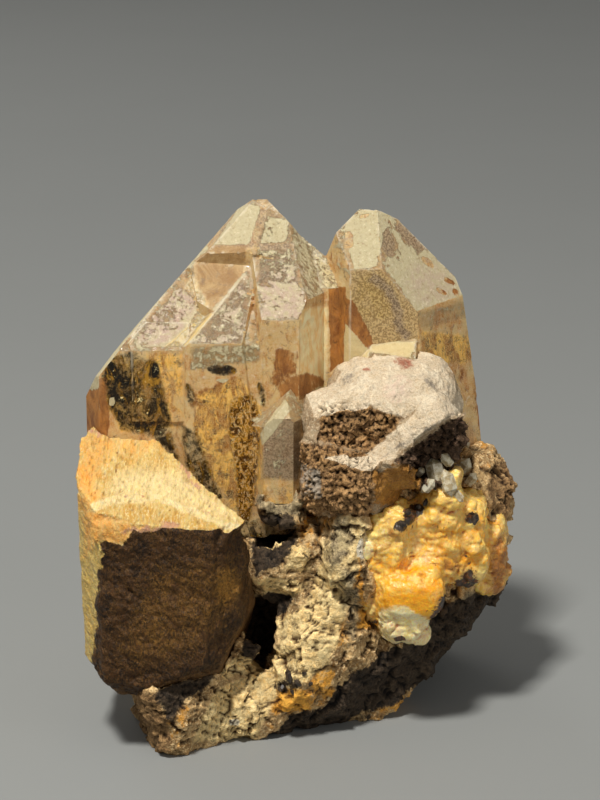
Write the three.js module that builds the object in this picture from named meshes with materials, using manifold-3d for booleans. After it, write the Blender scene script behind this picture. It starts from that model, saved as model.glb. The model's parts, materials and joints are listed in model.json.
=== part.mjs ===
// A smoky quartz cluster on its feldspar matrix, in millimetres, +Z up. The side seen in the photo
// looks along -Y, and x grows to the viewer's right. The specimen stands on a flat base at z = 0.
import * as THREE from "three";
import { ConvexGeometry } from "three/addons/geometries/ConvexGeometry.js";
import { ImprovedNoise } from "three/addons/math/ImprovedNoise.js";
import { mergeVertices } from "three/addons/utils/BufferGeometryUtils.js";
import Module from "manifold-3d";

const wasm = await Module();
wasm.setup();

// Driving sizes of the specimen.
const GAP = 0.3; // between neighbouring minerals
const RHOMB = 38.2; // how far a quartz termination face looks up, in degrees
const CRYSTAL_FOOT = 41; // the crystals' hidden lower ends
const INNER_FOOT = 47; // those above the hollow in the middle
const BLADE_FOOT = 50;
const CRYSTAL_BACK = 26; // the left crystal's back face
const BASE_SIZE = 200; // any box wider than the specimen
const SAME_POINT = 1e-4;

// Every flat face is [turn, tilt, x, y, z]: which way it looks, in degrees from the front towards
// the right, how far it looks up, in degrees, and a point that it passes through.
function plane([turn, tilt, x, y, z], grow = 0) {
  const side = THREE.MathUtils.degToRad(turn);
  const up = THREE.MathUtils.degToRad(tilt);
  const normal = new THREE.Vector3(
    Math.sin(side) * Math.cos(up),
    -Math.cos(side) * Math.cos(up),
    Math.sin(up),
  );
  return { normal, reach: normal.dot(new THREE.Vector3(x, y, z)) + grow };
}

// The point where three faces meet, or null where two of them are parallel.
function corner(a, b, c) {
  const bc = new THREE.Vector3().crossVectors(b.normal, c.normal);
  const ca = new THREE.Vector3().crossVectors(c.normal, a.normal);
  const ab = new THREE.Vector3().crossVectors(a.normal, b.normal);
  const size = a.normal.dot(bc);
  if (Math.abs(size) < SAME_POINT) return null;
  return bc
    .multiplyScalar(a.reach)
    .addScaledVector(ca, b.reach)
    .addScaledVector(ab, c.reach)
    .divideScalar(size);
}

function solidOf(geometry) {
  geometry.deleteAttribute("normal");
  geometry.deleteAttribute("uv");
  const merged = mergeVertices(geometry, SAME_POINT);
  return new wasm.Manifold(
    new wasm.Mesh({
      numProp: 3,
      vertProperties: merged.attributes.position.array,
      triVerts: new Uint32Array(merged.index.array),
    }),
  );
}

// A crystal is the space behind all of its faces.
function crystal(faces, grow = 0) {
  const planes = faces.map((face) => plane(face, grow));
  const corners = [];
  for (let i = 0; i < planes.length; i++)
    for (let j = i + 1; j < planes.length; j++)
      for (let k = j + 1; k < planes.length; k++) {
        const point = corner(planes[i], planes[j], planes[k]);
        const inside = (p) => p.normal.dot(point) < p.reach + SAME_POINT;
        if (point && planes.every(inside)) corners.push(point);
      }
  return solidOf(new ConvexGeometry(corners));
}

// A stone is a ball of points pulled out from its centre to its faces, and no further than `limit`.
// `edge` is how crisp the edges are, and `rough` how far the surface wanders, over lumps of size
// `grain`.
const noise = new ImprovedNoise();

function stone(shape, grow = 0) {
  const { centre, faces, detail, limit = 60, edge = 14, rough = 0.8, grain = 7 } = shape;
  const middle = new THREE.Vector3(...centre);
  const planes = faces.map((face) => plane(face, grow));
  const geometry = new THREE.IcosahedronGeometry(1, detail);
  const points = geometry.attributes.position;
  const way = new THREE.Vector3();
  for (let i = 0; i < points.count; i++) {
    way.fromBufferAttribute(points, i).normalize();
    let sum = limit ** -edge;
    for (const { normal, reach } of planes) {
      const depth = reach - normal.dot(middle);
      sum += Math.max(0, normal.dot(way) / depth) ** edge;
    }
    const point = way.multiplyScalar(sum ** (-1 / edge)).add(middle);
    const [x, y, z] = [point.x / grain, point.y / grain, point.z / grain];
    const bump = noise.noise(x, y, z) + 0.5 * noise.noise(2 * x, 2 * y, 2 * z + 9);
    const out = point.clone().sub(middle).normalize();
    point.addScaledVector(out, rough * bump);
    points.setXYZ(i, point.x, point.y, point.z);
  }
  return solidOf(geometry);
}

const joined = (solids) => solids.reduce((all, one) => all.add(one));

// Cutting can leave crumbs: the mineral is the largest body.
function largest(solid) {
  const bodies = solid.decompose();
  return bodies.reduce((a, b) => (a.volume() > b.volume() ? a : b));
}

// Faces that several crystals share.
const back = [180, 0, 0, CRYSTAL_BACK, 0];
const foot = [0, -90, 0, 0, CRYSTAL_FOOT];
const innerFoot = [0, -90, 0, 0, INNER_FOOT];

// The large left crystal: a broad front, and a narrow bright face all down its left slope.
const leftCrystal = [
  [0, 0, 0, -8, 0],
  [0, RHOMB, -28, -7.2, 82],
  [-80, 47, -33.2, -6, 84.6],
  [-78, 37.7, -37.1, -8, 80.3],
  [-60, 0, -40.8, -8, 0],
  [-120, 0, -43.9, -2.6, 0],
  [-112, 33.5, -34.1, -4, 84.1],
  [60, 0, -1, -8, 0],
  [120, 0, 7, 8, 0],
  [120, RHOMB, -2, 8, 104],
  [180, RHOMB, -9, 8.6, 108],
  back,
  foot,
];
// A plate on its front slope, standing a little proud.
const leftPlate = [
  [0, 0, 0, -8.6, 0],
  [0, RHOMB, -28, -8, 82],
  [-80, 47, -32.6, -6, 84.6],
  [-112, 33.5, -34.1, -4, 84.1],
  [-60, 0, -34, -8.6, 0],
  [72, 6, -21.2, 0, 92],
  [60, 0, -22, -8.6, 0],
  [180, RHOMB, -28, -3, 84],
  [180, 0, 0, -2, 0],
  [0, -90, 0, 0, 66],
];
// The left crystal's cap: two faces that meet in a groove above a ledge.
const leftCap = [
  [-12, 39, -13, 1.6, 100.6],
  [8, RHOMB, -6, 1.3, 100.6],
  [-80, 47, -33.2, -6, 84.6],
  [-112, 33.5, -34.1, -4, 84.1],
  [60, 33, 1.4, -5.1, 92.1],
  [75, 66, -5.2, 7, 106.9],
  [110, 38.8, -2, 5, 105],
  [180, RHOMB, -9, 8.6, 108.2],
  [-8, -12, -13, 0.6, 99.4],
  [0, -90, 0, 0, 95],
  [180, 0, 0, 14, 0],
];
// The broken step below the cap.
const leftStep = [
  [-6, 37, -18, -0.4, 94],
  [-80, 47, -33.2, -6, 84.6],
  [-112, 33.5, -34.1, -4, 84.1],
  [-80, -8, -21.4, 0, 92],
  [-30, -10, -19.5, -3, 86.5],
  [0, -90, 0, 0, 82],
  [60, 0, -8, 0, 0],
  [180, 0, 0, 5, 0],
  [0, 90, 0, 0, 101],
];
// The crystal in front of it, with the same bright left edge.
const frontCrystal = [
  [0, 0, 0, -9.6, 0],
  [0, RHOMB, -19.3, -9.6, 83],
  [-80, 46.8, -10.9, 0, 95.1],
  [-60, 0, -22.9, -9.6, 0],
  [66, 6, -9.6, -3.6, 90.6],
  [180, 0, 0, 6, 0],
  foot,
];
// The smooth strip between the front and the middle crystal.
const grooveCrystal = [
  [0, 0, 0, -8.7, 0],
  [8, RHOMB, -9, -8.4, 82.6],
  [-90, 0, -10.6, 0, 0],
  [90, 0, -7.4, 0, 0],
  [180, 0, 0, 4, 0],
  foot,
];
// The middle crystal, which carries the right slope of the left group.
const middleCrystal = [
  [0, 0, 0, -8.5, 0],
  [0, RHOMB, -3.6, -8.5, 87.7],
  [60, 32, 1.4, -5.1, 92.1],
  [110, 38.8, -2, 5, 105],
  [60, 0, 0.2, -8.5, 0],
  [120, 0, 8.4, 6, 0],
  [-70, 6, -8.4, -4, 93.4],
  [-60, 30, -9.6, 1.3, 101],
  [180, RHOMB, -9, 8.6, 108.2],
  [180, 0, 0, 16, 0],
  innerFoot,
];
// The dark, stained flank between the two groups.
const flankCrystal = [
  [0, 0, 0, 0.5, 0],
  [0, RHOMB, 8, 0.5, 92],
  [60, 0, 9.6, 2, 0],
  [110, 38.8, -2, 5, 105],
  [120, 0, 10.6, 8, 0],
  [-90, 0, 0, 0, 0],
  [180, 0, 0, 18, 0],
  innerFoot,
];
// The small crystal with a white bladed edge, low in the middle.
const bladeCrystal = [
  [0, 0, 0, -14, 0],
  [0, RHOMB, -2.4, -11.6, 71.4],
  [-75, 47, -2.4, -11.6, 71.4],
  [60, 30, -2.2, -11.6, 71.4],
  [-60, 0, -7.6, -13, 0],
  [60, 0, 0.2, -12, 0],
  [180, 0, 0, -4, 0],
  [0, -90, 0, 0, BLADE_FOOT],
];
// The large right crystal, with its frosted front and a right flank that widens downwards.
const rightCrystal = [
  [5, 0, 20, -2.6, 0],
  [5, RHOMB, 13.7, -3.1, 96.9],
  [50, 29.4, 17.1, -2.9, 96.9],
  [50, 4, 24.5, -2.2, 87.5],
  [120, 10, 34.8, 9.2, 87.5],
  [120, 6, 38.2, 9.2, 73.7],
  [110, 43.6, 23.4, 8.7, 101.6],
  [-60, 0, 9.6, -1.6, 0],
  [-120, 30, 8.6, 4, 102.5],
  [180, 45, 15, 5.4, 107.3],
  [165, 3, 20, 24, 70],
  [-130, 6, 10, 20, 70],
  foot,
];
// The low crystal at its foot, whose lit top makes a ledge.
const ledgeCrystal = [
  [0, 0, 0, -9, 0],
  [0, RHOMB, 20, -2.6, 81.4],
  [-60, RHOMB, 14.8, -3.8, 79.9],
  [75, 8, 24.4, -2.6, 81.4],
  [-60, 0, 9, -4, 0],
  [60, 0, 25, -6, 0],
  [180, 0, 0, 4, 0],
  foot,
];
// Smaller crystals on the back, below the two tips.
const backCrystal = [
  [180, 3, 2, 30, 60],
  [-120, 4, -8, 24, 60],
  [120, 4, 10, 24, 60],
  [180, 40, 0, 28, 78],
  [-120, 44, -5, 22, 82],
  [120, 36, 6, 22, 80],
  [0, 0, 0, 10, 0],
  foot,
];
const sideCrystal = [
  [180, 2, -28, 30.5, 55],
  [-120, 3, -37, 25, 55],
  [120, 3, -18, 25, 55],
  [180, 38, -28, 29, 64],
  [-120, 42, -34, 24, 66],
  [110, 34, -20, 24, 67],
  [0, 0, 0, 12, 0],
  foot,
];
const crystals = [
  backCrystal,
  sideCrystal,
  leftCrystal,
  leftPlate,
  leftCap,
  leftStep,
  frontCrystal,
  grooveCrystal,
  middleCrystal,
  flankCrystal,
  bladeCrystal,
  rightCrystal,
  ledgeCrystal,
];

// The blocky feldspar: a sloping cleavage top that overhangs on the left, a bright step below it,
// and a flat dark front with broken corners.
const blockTop = [
  [17, 65, -42, -29.4, 53.8],
  [-100, 34, -44.2, -10, 62],
  [0, 10, -30, -29.8, 52.6],
  [-88, -22, -45.2, -20, 58.5],
  [-92, 4, -44.7, -20, 60],
  [-55, 10, -42, -27, 54],
  [134, 4, -20, -17.5, 57],
  [70, 20, -10.5, -26, 51],
  [60, -30, -11, -24, 48],
  [170, 0, -34, -5, 60],
  [0, -90, 0, 0, 46],
];
const blockBody = [
  [-3, 0, -30, -31, 40],
  [134, 30, -20, -18.5, 50],
  [0, 40, -30, -30.4, 51.6],
  [-66, 0, -41.5, -26, 30],
  [-96, -2, -43.8, -16, 30],
  [46, -3, -15.5, -29, 34],
  [78, -3, -10.8, -22, 40],
  [76, -21, -13.2, -30, 28.5],
  [30, -48, -16, -26, 19],
  [-10, -50, -34, -30, 16],
  [-75, -40, -43, -20, 18],
  [20, 82, -20, -24, 52],
  [180, 0, 0, 0, 0],
  [0, -90, 0, 0, 12],
];

// The pitted knob: a rounded pale cap, a hollowed left shoulder and a rib across it.
const knobCap = {
  centre: [21, -9, 66],
  detail: 4,
  edge: 9,
  limit: 17,
  faces: [
    [0, 44, 19, -15.5, 75.5],
    [10, 78, 20, -9, 78.6],
    [-50, 42, 10, -14, 75],
    [62, 34, 31, -11, 73],
    [-75, 0, 4, -16, 66],
    [82, 2, 33.2, -12, 64],
    [12, 2, 24, -19.5, 66],
    [180, 0, 0, 1, 0],
    [0, -90, 0, 0, 54],
  ],
};
const knobShoulder = {
  centre: [9, -13, 60],
  detail: 3,
  edge: 9,
  limit: 15,
  rough: 1,
  grain: 5,
  faces: [
    [-14, 10, 10, -22.2, 62],
    [-34, 46, 5, -18.5, 69.5],
    [-85, 4, 1.4, -16, 64],
    [55, 4, 17.5, -20, 60],
    [180, 0, 0, -2, 0],
    [-10, -40, 8, -20, 50],
    [0, -90, 0, 0, 47],
  ],
};
const knobRib = {
  centre: [24, -16.5, 65],
  detail: 3,
  edge: 9,
  limit: 12,
  rough: 0.6,
  faces: [
    [-25, 42, 22, -21, 68],
    [40, -36, 27, -20, 63],
    [-52, -48, 17, -19, 60],
    [60, 44, 32, -15, 71],
    [10, 0, 22, -22, 65],
    [180, 0, 0, -12, 0],
  ],
};
// A plain lump fills a box with rounded corners.
const lump = (centre, [width, depth, height], faces = [], rough = 0.9) => ({
  centre,
  detail: 2,
  edge: 5,
  rough,
  grain: 5,
  faces: [
    [-90, 0, centre[0] - width, 0, 0],
    [90, 0, centre[0] + width, 0, 0],
    [0, 0, 0, centre[1] - depth, 0],
    [180, 0, 0, centre[1] + depth, 0],
    [0, 90, 0, 0, centre[2] + height],
    [0, -90, 0, 0, centre[2] - height],
    ...faces,
  ],
});
// The pitted hollow below the cap, and the dark one under the rib.
const knobHollow = { ...lump([12, -25.6, 67.5], [10.5, 8, 6.8], [], 1), edge: 3 };
const knobUnder = [
  [-90, 57, 24.4, -22, 67.2],
  [-75, -10, 23.4, -20, 62],
  [90, 0, 37, 0, 0],
  [0, 0, 0, -30, 0],
  [180, 14, 28, -15.4, 64],
  [0, -70, 28, -20, 57],
];
// The stained lumps: a gem-like mass on the left with a melted lump and a pale foot below it, a
// sandy shelf behind them, and a finger, broken lumps and an edge on the right.
const stained = [
  lump([17.2, -12, 43.5], [5.8, 8.4, 8], [[-30, 15, 13, -18.8, 46]]),
  lump([17.2, -11.5, 33], [4.8, 7, 9]),
  lump([23, -14.6, 32], [7, 7.6, 5.2], [], 0.6),
  lump([22, -13.6, 25.6], [4.9, 7, 4.6], [], 0.6),
  lump([26, -9.4, 41.5], [6.4, 7.2, 8.5]),
  lump([29.8, -11.6, 50.5], [3.7, 5.2, 7]),
  lump([34.4, -9, 44.4], [4.9, 7, 5.8], [[28, 24, 36, -14, 47]]),
  lump([34, -7, 37], [5, 7, 6]),
  lump([39.5, -0.5, 34.6], [4, 6, 8.6]),
];

// The rock: a wide core behind, and the forms that stand in front of it.
const rockCore = {
  centre: [0, 11, 26],
  detail: 6,
  edge: 9,
  rough: 1.5,
  grain: 11,
  faces: [
    [0, 6, 0, -7.5, 44],
    [-78, 2, -41, 4, 40],
    [-125, 6, -38, 24, 36],
    [180, 4, 0, 33.6, 30],
    [130, 6, 37, 24, 32],
    [80, 0, 42, 4, 36],
    [75, -42, 41, 2, 20],
    [-72, -30, -41, 4, 30],
    [-60, -20, -34, 0, 10],
    [0, 84, 0, 10, 54],
    [-150, 44, -24, 30, 49],
    [150, 40, 22, 30, 48],
    [0, -90, 0, 0, -8],
  ],
};
// A shelf at the back on the left, under the smaller crystals.
const rockShelf = lump([-27.5, 17.5, 33], [14, 16, 17], [[-130, 12, -37.6, 29, 40]], 1.5);
const rockFoot = {
  centre: [-23, -19, 8],
  detail: 4,
  edge: 10,
  limit: 22,
  faces: [
    [-20, -10, -29, -31.3, 4],
    [-75, -14, -33.5, -24, 14],
    [34, -14, -20, -26.5, 6],
    [40, 30, -18, -24, 14],
    [0, 90, 0, 0, 20],
    [180, 0, 0, 0, 0],
    [0, -90, 0, 0, -8],
  ],
};
const rockLedge = {
  centre: [-13, -13, 4],
  detail: 4,
  edge: 12,
  limit: 22,
  rough: 1,
  grain: 5,
  faces: [
    [-14, 46, -12, -20.5, 9],
    [25, 0, -10, -23.4, 6],
    [12, -38, -12, -21.8, 2],
    [-80, 10, -25, -18, 6],
    [80, 0, 0, -16, 6],
    [180, 0, 0, -2, 0],
    [0, 90, 0, 0, 16],
    [0, -90, 0, 0, -8],
  ],
};
const rockChip = lump([-12, -13, 18.5], [4.6, 6, 2.4], [], 0.6);
const rockStep = {
  centre: [-2, -8, 35],
  detail: 3,
  edge: 12,
  limit: 14,
  rough: 0.9,
  grain: 5,
  faces: [
    [-18, 52, -2, -13, 41.5],
    [12, -6, -2, -16.5, 36],
    [-75, 10, -10.5, -10, 38],
    [-20, -46, -5, -15, 31],
    [90, 0, 8, 0, 0],
    [180, 0, 0, 0, 0],
  ],
};
const ridgeTop = {
  centre: [11, -10, 44],
  detail: 4,
  edge: 10,
  limit: 20,
  rough: 1,
  grain: 5,
  faces: [
    [-30, 16, 9, -20, 46],
    [-80, 10, 6, -16, 46],
    [40, 0, 15, -19.5, 44],
    [0, 90, 0, 0, 55],
    [180, 0, 0, -2, 0],
    [-40, -40, 4.5, -17, 34],
    [0, -90, 0, 0, 26],
  ],
};
const ridgeFoot = {
  centre: [6, -9, 18],
  detail: 4,
  edge: 10,
  rough: 1.1,
  grain: 5,
  faces: [
    [-22, 24, 3, -19.5, 25],
    [-80, 4, -4.5, -15, 22],
    [28, 2, 10, -20.4, 18],
    [16, -38, 6, -18.6, 6],
    [35, -20, 12, -17.5, 10],
    [80, 0, 18, 0, 0],
    [0, 80, 2, -12, 37],
    [180, 0, 0, 0, 0],
    [0, -90, 0, 0, -8],
  ],
};
const rockKeel = {
  centre: [22, 0, 14],
  detail: 3,
  edge: 9,
  rough: 1.2,
  grain: 6,
  faces: [
    [38, -30, 22, -9.5, 10],
    [25, 10, 20, -13.5, 20],
    [70, -38, 35, 0, 16],
    [0, 90, 0, 0, 30],
    [-90, 0, 2, 0, 0],
    [180, 0, 0, 16, 0],
    [0, -90, 0, 0, -8],
  ],
};
const rockEdge = lump([37, 4, 43], [7, 9, 12], [[60, 20, 42, -2, 50]], 1.4);
const rockKnob = lump([41.5, 3, 45.5], [4.2, 4.5, 4.6], [], 0.8);
const rockCrust = lump([-4, -10.5, 49], [5, 4, 4.2], [], 1.2);
// The two dark hollows between the block and the ridge.
const rockHollows = [
  lump([-5, -5.5, 41.5], [4.6, 8.5, 4.2], [], 1),
  lump([-6, -8, 20], [5.5, 9, 8], [[40, 20, -2, -12, 26]], 1),
];
const rocks = [
  rockCore,
  rockShelf,
  rockCrust,
  rockFoot,
  rockLedge,
  rockChip,
  rockStep,
  ridgeTop,
  ridgeFoot,
  rockKeel,
  rockEdge,
  rockKnob,
];

// Each mineral is cut by those that it grew around, with the gap between them.
const block = [blockTop, blockBody];
const hewn = (grow = 0) => joined(block.map((one) => crystal(one, grow)));
const knob = [knobCap, knobShoulder, knobRib];
const grownStones = (stones) => stones.map((one) => stone(one, GAP));
const quartz = joined(crystals.map((one) => crystal(one)));
const aroundQuartz = joined(crystals.map((one) => crystal(one, GAP)));
const aroundBlock = aroundQuartz.add(hewn(GAP));
const aroundKnob = aroundBlock.add(joined(grownStones(knob)));
const aroundStained = aroundKnob.add(joined(grownStones(stained)));
const below = solidOf(
  new THREE.BoxGeometry(BASE_SIZE, BASE_SIZE, BASE_SIZE).translate(0, 0, -BASE_SIZE / 2),
);

function mineral(name, solid, color, roughness) {
  const { vertProperties, triVerts, numProp } = largest(solid).getMesh();
  const geometry = new THREE.BufferGeometry();
  geometry.setAttribute("position", new THREE.BufferAttribute(vertProperties, numProp));
  geometry.setIndex(new THREE.BufferAttribute(triVerts, 1));
  geometry.computeVertexNormals();
  const material = new THREE.MeshStandardMaterial({ color, roughness, metalness: 0 });
  const mesh = new THREE.Mesh(geometry, material);
  mesh.name = name;
  return mesh;
}

const of = (stones) => joined(stones.map((one) => stone(one)));
const hollows = stone(knobHollow).add(crystal(knobUnder));
const pitted = of(knob).subtract(hollows).subtract(aroundBlock);
const matrix = of(rocks).subtract(of(rockHollows)).subtract(aroundStained).subtract(below);
const specimen = new THREE.Group();
specimen.add(
  mineral("quartz_crystals", quartz, 0xb08d5c, 0.25),
  mineral("feldspar_block", hewn().subtract(aroundQuartz), 0xd9b56a, 0.7),
  mineral("pitted_feldspar", pitted, 0xcdbfa8, 0.85),
  mineral("stained_feldspar", of(stained).subtract(aroundKnob), 0xe09a2b, 0.45),
  mineral("matrix_rock", matrix, 0x6d5a41, 0.9),
);

// The origin is under the middle of the specimen, on the surface that it stands on.
const middle = new THREE.Box3().setFromObject(specimen).getCenter(new THREE.Vector3());
specimen.position.set(-middle.x, -middle.y, 0);

export default specimen;
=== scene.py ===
"""Dresses a smoky quartz cluster: clear and crusted crystals, feldspar and matrix rock."""

import functools
import itertools
import json
import math

import bmesh
import bpy
import numpy as np
from mathutils import Euler, Matrix, Vector
from mathutils.bvhtree import BVHTree

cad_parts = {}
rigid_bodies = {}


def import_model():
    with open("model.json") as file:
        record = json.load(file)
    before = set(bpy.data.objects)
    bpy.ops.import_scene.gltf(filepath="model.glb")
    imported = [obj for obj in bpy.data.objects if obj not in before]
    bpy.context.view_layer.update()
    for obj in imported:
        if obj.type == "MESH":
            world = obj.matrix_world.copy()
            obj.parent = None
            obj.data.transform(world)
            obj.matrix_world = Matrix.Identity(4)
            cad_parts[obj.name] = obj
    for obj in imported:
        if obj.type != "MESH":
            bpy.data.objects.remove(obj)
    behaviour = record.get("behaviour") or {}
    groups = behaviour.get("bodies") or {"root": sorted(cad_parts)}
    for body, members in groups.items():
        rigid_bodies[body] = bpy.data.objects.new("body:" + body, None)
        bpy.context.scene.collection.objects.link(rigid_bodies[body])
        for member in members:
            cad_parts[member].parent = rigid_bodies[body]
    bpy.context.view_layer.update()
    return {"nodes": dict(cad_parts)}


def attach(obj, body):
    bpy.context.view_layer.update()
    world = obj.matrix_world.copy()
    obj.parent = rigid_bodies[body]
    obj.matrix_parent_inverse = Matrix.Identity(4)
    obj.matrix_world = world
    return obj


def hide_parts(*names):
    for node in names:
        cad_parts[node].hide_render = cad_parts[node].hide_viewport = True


bl_info = {
    "name": "Smoky Quartz Cluster",
    "version": (1, 0, 0),
    "blender": (4, 5, 0),
    "location": "View3D > Sidebar > Specimen",
    "description": "Builds a quartz cluster on its feldspar matrix around a fixed frame",
    "category": "Add Mesh",
}

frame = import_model()

MM = 0.001

# The view that the specimen was measured in: a frame of 600 by 800 points, seen from a raised
# place in front. Places on the specimen's front are given as points in that frame.
VIEW_UP = math.radians(18.0)
VIEW_DISTANCE = 600.0  # mm
POINTS_PER_MM = 4.8
VIEW_MIDDLE = (300.0, 400.0)
VIEW_TARGET = np.array([0.4167, 0.0, 67.8654])
# The frame's origin is this far from the origin of the measurements, in mm.
FRAME_SHIFT = np.array([-0.252, -2.099, 0.0])
SENSOR = 36.0
FRAME_HEIGHT = 800.0

ACROSS = np.array([1.0, 0.0, 0.0])
AHEAD = np.array([0.0, math.cos(VIEW_UP), -math.sin(VIEW_UP)])
UPWARD = np.array([0.0, math.sin(VIEW_UP), math.cos(VIEW_UP)])


def seen(points):
    """Where points of the specimen, in mm, lie in the view's frame."""
    away = points - FRAME_SHIFT - VIEW_TARGET
    depth = VIEW_DISTANCE + away @ AHEAD
    reach = POINTS_PER_MM * VIEW_DISTANCE / depth
    across = VIEW_MIDDLE[0] + reach * away[:, 0]
    down = VIEW_MIDDLE[1] - reach * (away @ UPWARD)
    return np.stack([across, down], axis=1)


# ---------------------------------------------------------------- surface noise


# Large odd numbers that stir a cell's place and the seed together, and how much of that is used.
STIR = (374761393, 668265263, 1440662683)
STIR_SEED = 974634777
STIR_AGAIN = 1274126177
USED_BITS = 0xFFFFF


def scattered(cells, seed):
    """An even random number from 0 to 1 for each whole-numbered cell."""
    x, y, z = (cells[..., axis].astype(np.int64) * by for axis, by in enumerate(STIR))
    mixed = x + y + z + seed * STIR_SEED
    mixed = (mixed ^ (mixed >> 13)) * STIR_AGAIN
    mixed = mixed ^ (mixed >> 16)
    return (mixed & USED_BITS) / float(USED_BITS)


def swell(points, size, seed):
    """A smooth wandering value from -1 to 1, with lumps about `size` across."""
    place = points / size + 31.7
    cell = np.floor(place)
    part = place - cell
    part = part * part * part * (part * (part * 6 - 15) + 10)
    total = np.zeros(len(points))
    for step in itertools.product((0, 1), repeat=3):
        share = np.ones(len(points))
        for axis in range(3):
            share = share * (part[:, axis] if step[axis] else 1 - part[:, axis])
        total += share * scattered(cell + np.array(step), seed)
    return total * 2 - 1


def rough(points, size, octaves, seed, keep=0.5):
    """Layers of swells, each half the size of the one before."""
    total = np.zeros(len(points))
    share, whole = 1.0, 0.0
    for octave in range(octaves):
        total += share * swell(points, size / 2**octave, seed + octave * 7)
        whole += share
        share *= keep
    return total / whole


def ridged(points, size, octaves, seed):
    """Sharp creases with rounded ground between them, from 0 at a crease to 1."""
    total = np.zeros(len(points))
    share, whole = 1.0, 0.0
    for octave in range(octaves):
        total += share * np.abs(swell(points, size / 2**octave, seed + octave * 5))
        whole += share
        share *= 0.5
    return total / whole


def grains(points, size, seed):
    """For cells about `size` across: the distance to the nearest centre, and a slope that leans
    its own way in each cell."""
    place = points / size
    base = np.floor(place)
    nearest = np.full(len(points), 9.0)
    slope = np.zeros(len(points))
    for step in itertools.product((-1, 0, 1), repeat=3):
        cell = base + np.array(step)
        centre = np.stack([scattered(cell, seed + k) for k in range(3)], axis=1) + cell
        away = place - centre
        distance = np.sqrt((away**2).sum(axis=1))
        lean = np.stack([scattered(cell, seed + 5 + k) for k in range(3)], axis=1) - 0.5
        nearer = distance < nearest
        slope = np.where(nearer, (lean * away).sum(axis=1), slope)
        nearest = np.where(nearer, distance, nearest)
    return nearest, slope


def warped(points, size, amount, seed=0):
    """The points, each moved by a smooth wander, so that what is drawn from them is less even."""
    wander = [rough(points, size, 2, seed + 11 * axis) for axis in range(3)]
    return points + amount * np.stack(wander, axis=1)


def ramp(value, low, high):
    """0 below low, 1 above high, smooth between."""
    part = np.clip((value - low) / (high - low), 0.0, 1.0)
    return part * part * (3 - 2 * part)


# ---------------------------------------------------------------- patches in the view's frame


def line_distance(places, start, end):
    """How far each place is from the line between two others."""
    along = end - start
    share = np.clip(((places - start) @ along) / (along @ along), 0, 1)
    return np.linalg.norm(places - start - share[:, None] * along, axis=1)


def inside(places, outline, soft):
    """1 well inside an outline of the view's frame, 0 well outside, over `soft` points."""
    outline = np.array(outline, float).reshape(-1, 2)
    result = np.zeros(len(places))
    low, high = outline.min(axis=0) - soft, outline.max(axis=0) + soft
    near = np.all((places > low) & (places < high), axis=1)
    places = places[near]
    nearest = np.full(len(places), 1e9)
    within = np.zeros(len(places), bool)
    for start, end in zip(outline, np.roll(outline, -1, axis=0)):
        nearest = np.minimum(nearest, line_distance(places, start, end))
        crosses = (start[1] > places[:, 1]) != (end[1] > places[:, 1])
        drop = end[1] - start[1]
        if drop:
            at = start[0] + (places[:, 1] - start[1]) / drop * (end[0] - start[0])
            within ^= crosses & (places[:, 0] < at)
    result[near] = ramp(np.where(within, nearest, -nearest), -soft, soft)
    return result


OVAL_SIDES = 14


def oval(x, y, wide, high, turn=0.0):
    """The outline of an oval in the view's frame."""
    cos, sin = math.cos(math.radians(turn)), math.sin(math.radians(turn))
    points = []
    for side in range(OVAL_SIDES):
        angle = 2 * math.pi * side / OVAL_SIDES
        along, across = wide * math.cos(angle), high * math.sin(angle)
        points.append((x + along * cos - across * sin, y + along * sin + across * cos))
    return points


def band(*places, width):
    """The outline of a band along a line of places, which are given as x, y, x, y and so on."""
    path = np.array(places, float).reshape(-1, 2)
    step = np.gradient(path, axis=0)
    side = np.stack([-step[:, 1], step[:, 0]], axis=1)
    side *= width / 2 / np.linalg.norm(side, axis=1)[:, None]
    return np.concatenate([path + side, (path - side)[::-1]])


def marked(table, at, facing, spread=1.0):
    """The strongest patch of each mask. `facing` says how far each point looks each way."""
    masks = {}
    for way, outline, *layers in table:
        for name, strength, soft in layers:
            patch = strength * inside(at, outline, soft * spread) * facing[way]
            masks[name] = np.maximum(masks.get(name, 0), patch)
    return masks


def unsteady(points, size, amount):
    """Where points are seen, each moved by a small wander, so that no patch has an even edge."""
    wobble = np.stack([rough(points, size, 3, seed) for seed in (61, 67)], axis=1)
    return seen(points) + amount * wobble


def raise_to(masks, **floors):
    """Raises the masks that are named to at least the values that are given."""
    for name, floor in floors.items():
        masks[name] = np.maximum(masks[name], floor)


# ---------------------------------------------------------------- meshes


MERGE_DISTANCE = 2e-6


def merged_copy(node):
    """A closed copy of a frame node's mesh, whose loose triangles are joined."""
    mesh = frame["nodes"][node].data.copy()
    shape = bmesh.new()
    shape.from_mesh(mesh)
    bmesh.ops.remove_doubles(shape, verts=shape.verts, dist=MERGE_DISTANCE)
    shape.to_mesh(mesh)
    shape.free()
    mesh.materials.clear()
    return mesh


def added(name, data):
    """A new object in the scene."""
    thing = bpy.data.objects.new(name, data)
    bpy.context.scene.collection.objects.link(thing)
    return thing


def mesh_of(name, shape):
    """A mesh of a bmesh, which is freed."""
    mesh = bpy.data.meshes.new(name)
    shape.to_mesh(mesh)
    shape.free()
    return mesh


def remeshed(piece, voxel):
    """Gives a piece small even faces about `voxel` mm across."""
    grid = piece.modifiers.new("even faces", "REMESH")
    grid.mode = "VOXEL"
    grid.voxel_size = voxel * MM
    whole = piece.evaluated_get(bpy.context.evaluated_depsgraph_get())
    mesh = bpy.data.meshes.new_from_object(whole)
    piece.modifiers.clear()
    piece.data = mesh
    mesh.name = piece.name
    return piece


def dense(node, name, voxel):
    """A new piece with the node's shape, in small even faces."""
    return remeshed(added(name, merged_copy(node)), voxel)


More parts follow.
